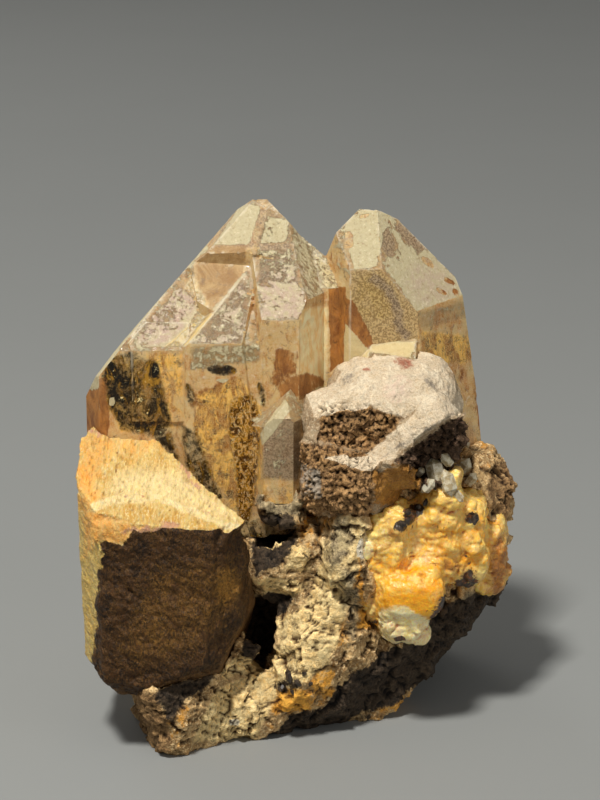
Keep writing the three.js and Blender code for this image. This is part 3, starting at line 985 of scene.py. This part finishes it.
BLOCK_MARKS = (
    ("top", (80, 436, 110, 430, 150, 436, 176, 450, 150, 456, 108, 462, 100, 505, 78, 500),
     ("orange", 0.56, 9)),
    ("any", (74, 462, 98, 470, 104, 508, 84, 512), ("orange", 0.72, 5)),
    ("wall", (84, 510, 160, 506, 238, 526, 234, 534, 190, 530, 170, 524, 150, 536, 120, 545, 96,
     545, 84, 560), ("orange", 0.66, 4)),
    ("top", (112, 470, 150, 462, 184, 466, 250, 520, 236, 531, 178, 510, 120, 503, 100, 500),
     ("bright", 0.62, 9)),
    ("any", band(92, 508, 121, 500, 160, 500, 180, 507, 223, 525, 240, 528, width=9),
     ("bright", 0.9, 3)),
    ("any", band(96, 503, 121, 496, 160, 496, 180, 503, 222, 520, width=3), ("rosy", 0.62, 3)),
    ("any", (110, 536, 133, 524, 190, 520, 180, 532, 140, 538), ("rosy", 0.58, 4)),
    ("any", band(86, 432, 143, 436, 174, 448, 184, 468, 200, 490, width=9), ("rosy", 0.66, 4)),
    ("wall", (97, 541, 121, 543, 133, 531, 156, 531, 174, 520, 192, 529, 248, 529, 247, 610, 218,
     668, 170, 680, 137, 700, 90, 676, 96, 620, 99, 571, 105, 556), ("dark", 0.97, 3)),
    # Golden fibres on the front: their own colour, with a painted highlight where they catch the
    # light.
    ("wall", oval(226, 586, 16, 22), ("golden", 0.7, 8)),
    ("wall", (150, 560, 240, 550, 243, 610, 210, 650, 180, 660, 140, 680, 110, 650, 130, 600),
     ("golden", 0.38, 12)),
    ("any", (86, 522, 106, 548, 101, 571, 98, 616, 94, 676, 70, 668, 66, 560, 76, 520),
     ("side", 1, 2)),
)
BLOCK = {
    "name": "cleaved feldspar",
    "rounds": 3,
    "grain": 1.0,
    "along": (0.8, 4.0, 1.2),
    "roughness": 0.6,
    "soft_light": 0.25,
    "ground": ((224, 194, 122), (206, 158, 74), (232, 212, 156)),
    "layers": (
        ("side", (228, 204, 128), (196, 156, 70), 0.1, 0.6),
        ("orange", (250, 202, 120), (234, 156, 60), 0.2, 0.4),
        ("bright", (248, 232, 182), (232, 202, 132), 0.12, 0.2),
        ("rosy", (214, 172, 140), (190, 140, 104), 0.04, 0.0),
        # Darker on the block's back faces, and painted shade on its faces that look down or to the
        # right.
        ("back", (118, 88, 52), (84, 60, 34), 0.05, 0.0),
        ("dark", (88, 58, 24), (18, 11, 5), 0.05, 0.0),
        ("golden", (206, 150, 62), (50, 31, 10), 0.16, 0.1),
    ),
    "grit": (228, 200, 150),
    # Painted shade in hollows and noise pits, and a painted highlight on crests.
    "deep": (150, 116, 78),
    "crest_highlight": 0.4,
    "pit_shade": 0.2,
    "veins": ((176, 128, 60), 0.016, 0.25),
    "bump": 1.0,
    "shine": 0.3,
}


def block_height(points, normals):
    facing = rock_facing(points, normals)
    dark = marked(BLOCK_MARKS, seen(points), facing)["dark"]
    top = facing["top"]
    fibre = rough(points * np.array([1.0, 0.22, 1.0]), 1.1, 3, 5, 0.7)
    slanted = points @ np.array([[0.8, 0.0, 0.6], [0.0, 1.0, 0.0], [-0.6, 0.0, 0.8]])
    strand = rough(slanted * np.array([0.4, 1.0, 1.0]), 1.0, 2, 15, 0.75)
    across = points[:, 0] * 0.55 + points[:, 1] * 0.84
    steps = np.abs((across / 2.3 + 0.6 * swell(points, 7, 2)) % 1 - 0.5)
    broken = 2.2 * (ridged(warped(points, 8, 2.0), 13.0, 3, 4) - 0.3) + 0.4 * strand
    height = 0.3 * rough(points, 5.5, 4, 21) + 0.1
    height += top * (0.35 * steps + 0.6 * fibre + 0.7 * rough(points, 7.0, 2, 33))
    height += dark * broken
    height += (1 - top) * (1 - dark) * 0.25 * rough(points, 1.8, 3, 8)
    return height


def block_looks(points, normals):
    masks, facing = rock_masks(BLOCK_MARKS, points, normals, 2.0, 3.0)
    side = 1 - facing["top"]
    # A darker colour on the sides: on faces that look back, and painted shade on faces that look
    # down or to the right.
    behind = (1 - facing["front"]) * (0.5 + 0.4 * rough(points, 7, 3, 4))
    under = 0.8 * ramp(-normals[:, 2], 0.2, 0.6)
    right = 0.75 * ramp(normals[:, 0], 0.6, 0.85)
    masks["back"] = side * np.maximum.reduce([behind, under, right])
    return masks


class SPECIMEN_OT_block(bpy.types.Operator):
    """Builds the blocky feldspar"""

    bl_idname = "specimen.block"
    bl_label = "Feldspar Block"

    def execute(self, context):
        piece = dense("feldspar_block", "cleaved_feldspar", context.scene.specimen_rock.block_face)
        dress_rock(piece, "feldspar_block", BLOCK, block_height, block_looks)
        return {"FINISHED"}


KNOB_MARKS = (
    ("any", (328, 398, 344, 366, 362, 358, 392, 352, 425, 353, 448, 376, 466, 404, 470, 420, 455,
     404, 430, 402, 404, 418, 370, 406, 345, 403), ("pale", 0.92, 4)),
    ("any", oval(397, 390, 18, 18), ("rosy", 0.5, 8)),
    ("any", (440, 398, 466, 400, 460, 412, 384, 462, 366, 454, 400, 426), ("pale", 0.9, 3)),
    # A grey band along the rib's lower edge: painted shadow under the rib.
    ("any", band(455, 412, 420, 434, 378, 462, width=7), ("ashen", 0.55, 3)),
    ("any", (318, 404, 345, 402, 370, 406, 403, 417, 396, 430, 370, 452, 337, 447, 318, 440),
     ("pitted", 0.92, 3)),
    ("any", (296, 440, 335, 444, 370, 452, 380, 470, 372, 520, 300, 516), ("pitted", 0.8, 5)),
    ("any", (300, 460, 322, 470, 326, 500, 300, 500), ("ashen", 0.6, 4)),
    # Dark crust under the rib, darkened further as painted shade.
    ("any", (392, 462, 425, 440, 452, 418, 470, 412, 480, 440, 480, 500, 440, 512, 420, 500, 412,
     474), ("dark", 0.9, 3)),
    ("any", (372, 470, 400, 462, 424, 470, 420, 506, 372, 506), ("golden", 0.72, 4)),
    ("any", oval(348, 378, 10, 12), ("ashen", 0.5, 5)),
    ("any", oval(432, 386, 20, 9, 35), ("ashen", 0.47, 5)),
    ("any", oval(403, 363, 13, 8), ("red", 0.58, 4)),
    ("any", oval(366, 370, 5, 2.5), ("red", 0.7, 1.5)),
)
KNOB = {
    "name": "pale crust",
    "rounds": 3,
    "grain": 0.8,
    "along": (1.0, 1.0, 1.0),
    "roughness": 0.88,
    "soft_light": 0.0,
    "ground": ((188, 166, 134), (150, 124, 92), (214, 196, 164)),
    "layers": (
        # The pits: tan grain tops as painted light, and near-black between them as painted shadow.
        ("pitted", (206, 162, 108), (58, 38, 22), 0.12, 0.0),
        ("back", (150, 122, 86), (110, 84, 54), 0.05, 0.0),
        ("pale", (244, 230, 202), (190, 166, 132), 0.05, 0.0),
        ("rosy", (220, 194, 180), (206, 182, 160), 0.12, 0.0),
        ("ashen", (176, 164, 146), (140, 128, 112), 0.06, 0.0),
        ("dark", (96, 74, 54), (48, 37, 28), 0.04, 0.1),
        ("golden", (200, 146, 68), (130, 86, 38), 0.06, 0.5),
        ("red", (206, 146, 118), (140, 84, 64), 0.1, 0.0),
    ),
    "grit": (206, 184, 156),
    # Painted shade in hollows and noise pits, and a painted highlight on crests.
    "deep": (36, 24, 14),
    "crest_highlight": 0.6,
    "pit_shade": 0.3,
    "veins": ((176, 140, 118), 0.012, 0.4),
    "bump": 0.9,
    "shine": 0.2,
}


def knob_height(points, normals):
    facing = rock_facing(points, normals)
    masks = marked(KNOB_MARKS, seen(points), facing, 2.0)
    hidden = (1 - facing["front"]) * (1 - facing["top"])
    pitted = np.maximum.reduce([masks["pitted"], 0.9 * masks["dark"], 0.75 * hidden])
    uneven = warped(points, 1.0, 0.5, 31)
    near, _ = grains(uneven, 1.3, 2)
    small, _ = grains(uneven, 0.75, 6)
    gaps = ramp(near, 0.15, 0.75) * 0.75 + ramp(small, 0.15, 0.8) * 0.35
    gaps += 1.6 * (0.4 - ridged(points, 3.0, 4, 8)) - 0.7 * rough(points, 1.1, 2, 51)
    height = 0.15 + 0.9 * (ridged(points, 6.0, 4, 13) - 0.3) + 0.3 * rough(points, 1.8, 4, 4, 0.7)
    return height - 1.25 * pitted * (gaps - 0.4)


def knob_looks(points, normals):
    masks, facing = rock_masks(KNOB_MARKS, points, normals, 1.5, 2.5)
    hidden = (1 - facing["front"]) * (1 - facing["top"])
    masks["back"] = hidden * (0.6 + 0.4 * rough(points, 5, 3, 4))
    raise_to(masks, pale=0.75 * facing["top"])
    return masks


class SPECIMEN_OT_knob(bpy.types.Operator):
    """Builds the pitted, pale-crusted knob"""

    bl_idname = "specimen.knob"
    bl_label = "Pitted Knob"

    def execute(self, context):
        piece = dense("pitted_feldspar", "pitted_crust", context.scene.specimen_rock.knob_face)
        dress_rock(piece, "pitted_feldspar", KNOB, knob_height, knob_looks)
        return {"FINISHED"}


STAINED_MARKS = (
    ("any", oval(366, 549, 8, 13), ("white", 0.8, 3)),
    ("any", (380, 610, 400, 604, 432, 618, 428, 640, 400, 650, 380, 640), ("white", 0.95, 4)),
    ("any", (350, 560, 368, 566, 384, 600, 386, 640, 366, 640, 356, 600), ("sandy", 0.62, 5)),
    ("any", (410, 530, 440, 540, 452, 570, 430, 575, 405, 556), ("sandy", 0.7, 5)),
    ("any", oval(498, 565, 14, 38), ("rusty", 0.6, 6)),
    ("any", oval(470, 575, 18, 14), ("sandy", 0.55, 6)),
    ("any", oval(452, 566, 12, 6, 20), ("rusty", 0.62, 4)),
    ("any", oval(412, 514, 13, 8, -30), ("black", 0.86, 3)),
    ("any", oval(400, 526, 6, 5), ("black", 0.86, 3)),
    ("any", oval(400, 638, 6, 4), ("black", 0.95, 1.5)),
    ("any", (425, 610, 452, 580, 470, 560, 480, 580, 455, 610, 430, 640), ("black", 0.66, 5)),
    ("any", oval(472, 518, 9, 8), ("black", 0.7, 3)),
    ("any", oval(410, 606, 30, 15, 8), ("amber", 0.95, 6)),
    ("any", (366, 556, 446, 560, 452, 600, 430, 636, 372, 640), ("amber", 0.6, 8)),
    ("any", (420, 520, 500, 500, 500, 570, 430, 580), ("amber", 0.5, 8)),
)
STAINED = {
    "name": "stained feldspar",
    "rounds": 6,
    "grain": 1.2,
    "along": (1.0, 1.0, 1.0),
    "roughness": 0.45,
    "soft_light": 0.25,
    "ground": ((255, 222, 120), (250, 184, 56), (255, 242, 190)),
    "layers": (
        ("sandy", (226, 192, 130), (200, 156, 90), 0.06, 0.0),
        ("glossy", (255, 238, 160), (255, 186, 36), 0.2, 0.95),
        ("amber", (255, 204, 50), (250, 150, 4), 0.15, 1.0),
        ("rusty", (216, 150, 62), (150, 94, 36), 0.1, 0.3),
        ("white", (255, 247, 208), (255, 222, 132), 0.1, 0.6),
        ("black", (50, 42, 34), (74, 58, 42), 0.03, 0.2),
    ),
    "grit": (226, 168, 84),
    # Painted shade in hollows and noise pits, and a painted highlight on crests.
    "deep": (190, 96, 16),
    "crest_highlight": 0.8,
    "pit_shade": 0.35,
    "veins": ((214, 120, 24), 0.012, 0.5),
    "bump": 0.45,
    "shine": 0.6,
}


def stained_height(points, normals):
    smooth = inside(seen(points), oval(412, 602, 32, 20, 8), 6)
    folds = 2.6 * (ridged(warped(points, 5, 1.5), 5.0, 4, 3) - 0.28)
    height = 0.2 + 0.7 * rough(points, 6, 2, 9) + folds
    height += 0.35 * rough(points, 1.6, 2, 6, 0.6)
    return height * (1 - 0.8 * smooth) + 0.5 * smooth


def stained_looks(points, normals):
    masks, facing = rock_masks(STAINED_MARKS, points, normals, 1.8, 3.5)
    wander = rough(points, 4.0, 3, 19)
    masks["glossy"] = 0.6 + 0.5 * wander
    spots = 0.5 * ramp(rough(points, 3.0, 3, 71), 0.1, 0.5)
    raise_to(
        masks,
        rusty=np.maximum(spots, (1 - facing["front"]) * (0.6 + 0.5 * wander)),
        sandy=0.5 * ramp(-wander, 0.0, 0.4),
        black=0.48 * ramp(rough(points, 2.4, 3, 83), 0.3, 0.6),
    )
    return masks


class SPECIMEN_OT_stained(bpy.types.Operator):
    """Builds the glossy stained lumps"""

    bl_idname = "specimen.stained"
    bl_label = "Stained Lumps"

    def execute(self, context):
        size = context.scene.specimen_rock.stained_face
        piece = dense("stained_feldspar", "stained_lumps", 2 * size)
        closed_up(piece, 0.5, 2 * size)
        remeshed(piece, size)
        node = slot = "stained_feldspar"
        dress_rock(piece, node, STAINED, stained_height, stained_looks)
        return {"FINISHED"}


MATRIX_MARKS = (
    ("front", (340, 519, 352, 512, 372, 524, 360, 560, 352, 600, 340, 640, 330, 664, 300, 690,
     262, 684, 274, 657, 282, 638, 275, 618, 304, 605, 320, 562, 325, 542), ("tan", 0.8, 5)),
    ("front", (190, 742, 206, 700, 225, 685, 262, 670, 282, 690, 262, 728, 248, 740),
     ("tan", 0.82, 5)),
    ("front", (214, 668, 251, 652, 264, 669, 227, 682), ("tan", 0.85, 3)),
    ("front", (294, 544, 312, 550, 312, 572, 276, 574), ("tan", 0.66, 4)),
    ("front", (252, 578, 286, 578, 312, 582, 290, 600, 262, 596), ("tan", 0.86, 4)),
    ("front", oval(340, 540, 16, 34, 8), ("ashen", 0.62, 6)),
    ("front", (340, 560, 358, 566, 366, 610, 360, 650, 344, 640, 338, 600), ("ashen", 0.62, 6)),
    ("front", (262, 690, 290, 684, 314, 692, 310, 712, 272, 714), ("ochre", 0.85, 4)),
    ("front", (310, 664, 338, 664, 338, 700, 312, 704), ("ochre", 0.6, 5)),
    ("front", oval(392, 700, 26, 9, -14), ("ochre", 0.6, 5)),
    ("front", oval(350, 620, 10, 40, 8), ("ochre", 0.6, 6)),
    # The underside: black crust, with painted shade.
    ("front", (330, 705, 350, 676, 400, 645, 432, 606, 486, 590, 515, 560, 505, 620, 464, 645,
     440, 676, 355, 718, 300, 738, 262, 738, 290, 716), ("black", 0.9, 4)),
    # The hollow between the block and the knob, black as painted shadow.
    ("front", (256, 512, 292, 512, 300, 540, 280, 566, 256, 576, 250, 540), ("black", 0.9, 6)),
    # The hole left of the ridge, black as the block's painted shadow.
    ("front", (250, 592, 296, 598, 276, 618, 280, 640, 262, 668, 244, 660, 240, 610),
     ("black", 0.9, 5)),
    ("front", (268, 686, 286, 672, 306, 680, 298, 694, 278, 694), ("black", 0.6, 4)),
    ("front", (132, 690, 160, 690, 172, 744, 150, 764, 138, 730), ("rusty", 0.8, 5)),
    # Painted shade beneath the block, beside the ledge.
    ("front", (150, 690, 205, 668, 222, 680, 190, 700, 172, 724, 160, 716), ("black", 0.8, 7)),
    ("front", (255, 484, 302, 480, 302, 515, 260, 520), ("ashen", 0.75, 4)),
    ("front", oval(235, 722, 5, 4), ("white", 0.86, 2)),
    ("front", (424, 628, 462, 586, 500, 574, 498, 600, 462, 620, 430, 646), ("ashen", 0.56, 5)),
    ("front", oval(362, 549, 7, 12), ("white", 0.9, 2)),
    ("front", band(356, 524, 354, 560, 358, 600, 366, 630, width=12), ("ochre", 0.9, 3)),
    ("front", oval(500, 490, 18, 34), ("rusty", 0.62, 5)),
)
MATRIX = {
    "name": "matrix rock",
    "rounds": 2,
    "grain": 1.1,
    "along": (1.0, 1.0, 1.0),
    "roughness": 0.88,
    "soft_light": 0.0,
    "ground": ((206, 172, 120), (140, 106, 66), (232, 206, 156)),
    "layers": (
        ("ochre", (244, 184, 78), (188, 122, 40), 0.06, 0.4),
        ("tan", (254, 232, 174), (216, 178, 112), 0.08, 0.0),
        ("rusty", (178, 142, 96), (102, 76, 48), 0.05, 0.0),
        ("ashen", (190, 172, 134), (74, 62, 46), 0.1, 0.0),
        ("black", (84, 70, 54), (26, 21, 16), 0.05, 0.2),
        ("white", (246, 240, 220), (230, 214, 180), 0.05, 0.5),
    ),
    "grit": (200, 174, 136),
    # Painted shade in hollows and noise pits, and a painted highlight on crests.
    "deep": (70, 50, 32),
    "crest_highlight": 0.9,
    "pit_shade": 0.25,
    "veins": ((70, 52, 36), 0.012, 0.7),
    "bump": 1.0,
    "shine": 0.25,
}


def matrix_height(points, normals):
    _, slope = grains(warped(points, 5, 1.5), 9.0, 3)
    _, small = grains(warped(points, 2, 0.6), 3.4, 33)
    beds = (points[:, 2] * 0.9 + 0.4 * points[:, 1] + 0.3 * points[:, 0]) / 2.2
    layered = (beds + 1.2 * swell(points, 6, 4)) % 1 - 0.5
    cracked = 1.4 * (ridged(warped(points, 6, 1.5), 6.5, 4, 7) - 0.3)
    height = 0.1 + 2.8 * slope + 1.5 * small + cracked
    height += 0.3 * rough(points, 2.0, 3, 1, 0.7)
    return height + 0.5 * layered * ramp(rough(points, 7, 2, 30), -0.3, 0.2)


def matrix_looks(points, normals):
    masks, facing = rock_masks(MATRIX_MARKS, points, normals, 2.2, 4.0)
    wander = rough(points, 5.0, 4, 41)
    behind = 1 - facing["front"]
    raise_to(
        masks,
        tan=(0.45 + 0.5 * wander) * (0.5 + 0.5 * behind),
        ochre=0.25 + 0.5 * rough(points, 7.0, 3, 50),
        ashen=behind * (0.4 - 0.5 * wander),
    )
    return masks


class SPECIMEN_OT_matrix(bpy.types.Operator):
    """Builds the matrix rock"""

    bl_idname = "specimen.matrix"
    bl_label = "Matrix Rock"

    def execute(self, context):
        piece = dense("matrix_rock", "matrix", context.scene.specimen_rock.matrix_face)
        dress_rock(piece, "matrix_rock", MATRIX, matrix_height, matrix_looks)
        return {"FINISHED"}


# ---------------------------------------------------------------- the small crystals

# Each small crystal: where it is seen in the view's frame, its thickness and length in mm, and its
# lean from upright to the right and towards the front, in degrees.
CLEAR_CRYSTALS = (
    (436, 472, 4.0, 7.0, 16, 14), (448, 483, 3.2, 6.0, -12, 20), (463, 468, 3.0, 5.6, 28, 12),
    (428, 486, 2.2, 4.2, -30, 30), (447, 460, 2.2, 4.4, 40, 20), (471, 480, 2.2, 4.0, 14, 30),
    (458, 496, 1.8, 3.6, -34, 24), (420, 472, 1.6, 3.2, -18, 40), (466, 446, 1.3, 2.6, 24, 30),
)
DARK_CRYSTALS = (
    (289, 676, 1.4, 3.4, -14, 34), (298, 683, 1.2, 2.8, 22, 40), (283, 687, 1.1, 2.6, -32, 44),
    (304, 674, 1.0, 2.4, 34, 30), (294, 693, 1.0, 2.2, 6, 50), (310, 684, 0.9, 2.0, 40, 40),
    (441, 470, 0.8, 1.6, 30, 50), (452, 488, 0.8, 1.6, -24, 50), (474, 520, 1.6, 3.0, 14, 30),
    (408, 514, 1.6, 3.4, 20, 40), (418, 508, 1.4, 3.0, -22, 34), (402, 524, 1.3, 2.6, -36, 44),
    (426, 502, 1.0, 2.2, 30, 40),
)


def struck(point, trees):
    """Where the line of sight through a point of the view's frame meets the specimen, in mm."""
    eye = VIEW_TARGET + FRAME_SHIFT - VIEW_DISTANCE * AHEAD
    across, down = (np.array(point, float) - VIEW_MIDDLE) / POINTS_PER_MM
    way = VIEW_DISTANCE * AHEAD + across * ACROSS - down * UPWARD
    hits = [tree.ray_cast(Vector(eye * MM), Vector(way).normalized()) for tree in trees]
    hits = [hit for hit in hits if hit[0]]
    return min(hits, key=lambda hit: hit[3])[0] if hits else None


def druse(name, table, material):
    """Makes one piece of a table of small six-sided crystals, pointed at both ends."""
    names = ("matrix", "pitted_crust", "stained_lumps", "smoky_quartz")
    depsgraph = bpy.context.evaluated_depsgraph_get()
    trees = [BVHTree.FromObject(bpy.data.objects[other], depsgraph) for other in names]
    shape = bmesh.new()
    for x, y, thick, long, right, ahead in table:
        foot = struck((x, y), trees)
        if foot is None:
            raise RuntimeError(f"nothing is seen at {x}, {y}")
        turn = Euler((math.radians(ahead), math.radians(right), math.radians(7 * x))).to_matrix()
        size = Matrix.Diagonal((thick / 1.73, thick / 1.73, long / 2, 1.0)) * MM
        size[3][3] = 1.0
        place = Matrix.Translation(foot) @ turn.to_4x4() @ size
        bmesh.ops.create_uvsphere(shape, u_segments=6, v_segments=3, radius=1.0, matrix=place)
    bmesh.ops.recalc_face_normals(shape, faces=shape.faces)
    piece = added(name, mesh_of(name, shape))
    piece.data.materials.append(material)
    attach(piece, "root")


class SPECIMEN_OT_druse(bpy.types.Operator):
    """Builds the small crystals that sit on the crust and in the hollows"""

    bl_idname = "specimen.druse"
    bl_label = "Small Crystals"

    def execute(self, context):
        bench = Bench("small clear crystals")
        cloud = bench.noise(1.2, 4, 0.7)
        values = {
            "Base Color": bench.mix(cloud.ramp(0.4, 0.6), (244, 236, 208), (196, 178, 138)),
            "Roughness": 0.12,
            "IOR": QUARTZ_IOR,
            "Transmission Weight": 0.3,
        }
        clear = bench.finish(bench.principled(values))
        bench = Bench("small dark crystals")
        cloud = bench.noise(0.8, 4, 0.7)
        values = {
            "Base Color": bench.mix(cloud.ramp(0.4, 0.6), (38, 32, 28), (78, 66, 54)),
            "Roughness": 0.25,
        }
        dark = bench.finish(bench.principled(values))
        druse("clear_druse", CLEAR_CRYSTALS, clear)
        druse("dark_druse", DARK_CRYSTALS, dark)
        return {"FINISHED"}


# ---------------------------------------------------------------- the stage


# Each lamp: its name, where it is and how wide, in metres, its power in watts and its colour.
LAMPS = (
    ("key", (-0.2, -0.42, 0.88), 0.12, 9.6, (1.0, 0.97, 0.92)),
    ("fill", (0.8, -0.6, 0.35), 0.7, 1.7, (1.0, 0.97, 0.93)),
    ("rim", (-0.5, 0.7, 0.5), 0.5, 1.2, (1.0, 0.98, 0.95)),
)
LAMP_TARGET = Vector((0, 0, 0.055))
SKY_COLOUR = (1.0, 0.98, 0.95, 1.0)
SKY_STRENGTH = 0.19
FLOOR_REACH = 4.0


class SPECIMEN_OT_stage(bpy.types.Operator):
    """Sets the camera, the floor and the lights"""

    bl_idname = "specimen.stage"
    bl_label = "Stage"

    def execute(self, context):
        scene = context.scene
        scene.view_settings.view_transform = "Standard"
        lens = bpy.data.cameras.new("view")
        lens.sensor_width = SENSOR
        lens.lens = SENSOR * POINTS_PER_MM * VIEW_DISTANCE / FRAME_HEIGHT
        lens.clip_start = 0.01
        camera = added("view", lens)
        camera.location = (VIEW_TARGET + FRAME_SHIFT - VIEW_DISTANCE * AHEAD) * MM
        camera.rotation_euler = (math.pi / 2 - VIEW_UP, 0, 0)
        scene.camera = camera

        shape = bmesh.new()
        bmesh.ops.create_grid(shape, x_segments=1, y_segments=1, size=FLOOR_REACH)
        floor = added("floor", mesh_of("floor", shape))
        bench = Bench("floor")
        colour = tuple(scene.specimen_stage.floor_colour)
        paler = tuple(min(1.0, part * 1.04) for part in colour)
        mottled = bench.blend(bench.noise(60, 3, 0.5), colour, paler)
        surface = bench.principled({"Base Color": mottled, "Roughness": 0.9})
        floor.data.materials.append(bench.finish(surface))

        world = bpy.data.worlds.new("room")
        world.use_nodes = True
        sky = world.node_tree.nodes["Background"].inputs
        sky["Color"].default_value = SKY_COLOUR
        sky["Strength"].default_value = SKY_STRENGTH
        scene.world = world
        for name, place, size, power, colour in LAMPS:
            light = bpy.data.lights.new(name, "AREA")
            light.size = size
            light.energy = power
            light.color = colour
            lamp = added(name, light)
            lamp.location = place
            aim = LAMP_TARGET - Vector(place)
            lamp.rotation_euler = aim.to_track_quat("-Z", "Y").to_euler()
        return {"FINISHED"}


class SPECIMEN_PT_panel(bpy.types.Panel):
    """Lists the specimen's pieces"""

    bl_label = "Quartz Cluster"
    bl_idname = "SPECIMEN_PT_panel"
    bl_space_type = "VIEW_3D"
    bl_region_type = "UI"
    bl_category = "Specimen"

    def draw(self, context):
        for operator in PIECES:
            self.layout.operator(operator.bl_idname)
        for values in VALUES:
            group = getattr(context.scene, values)
            for name in group.__annotations__:
                self.layout.prop(group, name)


PIECES = (
    SPECIMEN_OT_stage,
    SPECIMEN_OT_quartz,
    SPECIMEN_OT_block,
    SPECIMEN_OT_knob,
    SPECIMEN_OT_stained,
    SPECIMEN_OT_matrix,
    SPECIMEN_OT_druse,
)
VALUES = {
    "specimen_quartz": QuartzValues,
    "specimen_rock": RockValues,
    "specimen_stage": StageValues,
}
CLASSES = (*VALUES.values(), *PIECES, SPECIMEN_PT_panel)


def register():
    for cls in CLASSES:
        bpy.utils.register_class(cls)
    for name, values in VALUES.items():
        setattr(bpy.types.Scene, name, bpy.props.PointerProperty(type=values))


def unregister():
    for name in VALUES:
        delattr(bpy.types.Scene, name)
    for cls in reversed(CLASSES):
        bpy.utils.unregister_class(cls)


def main():
    register()
    for operator in PIECES:
        family, name = operator.bl_idname.split(".")
        getattr(getattr(bpy.ops, family), name)()


if __name__ == "__main__":
    main()
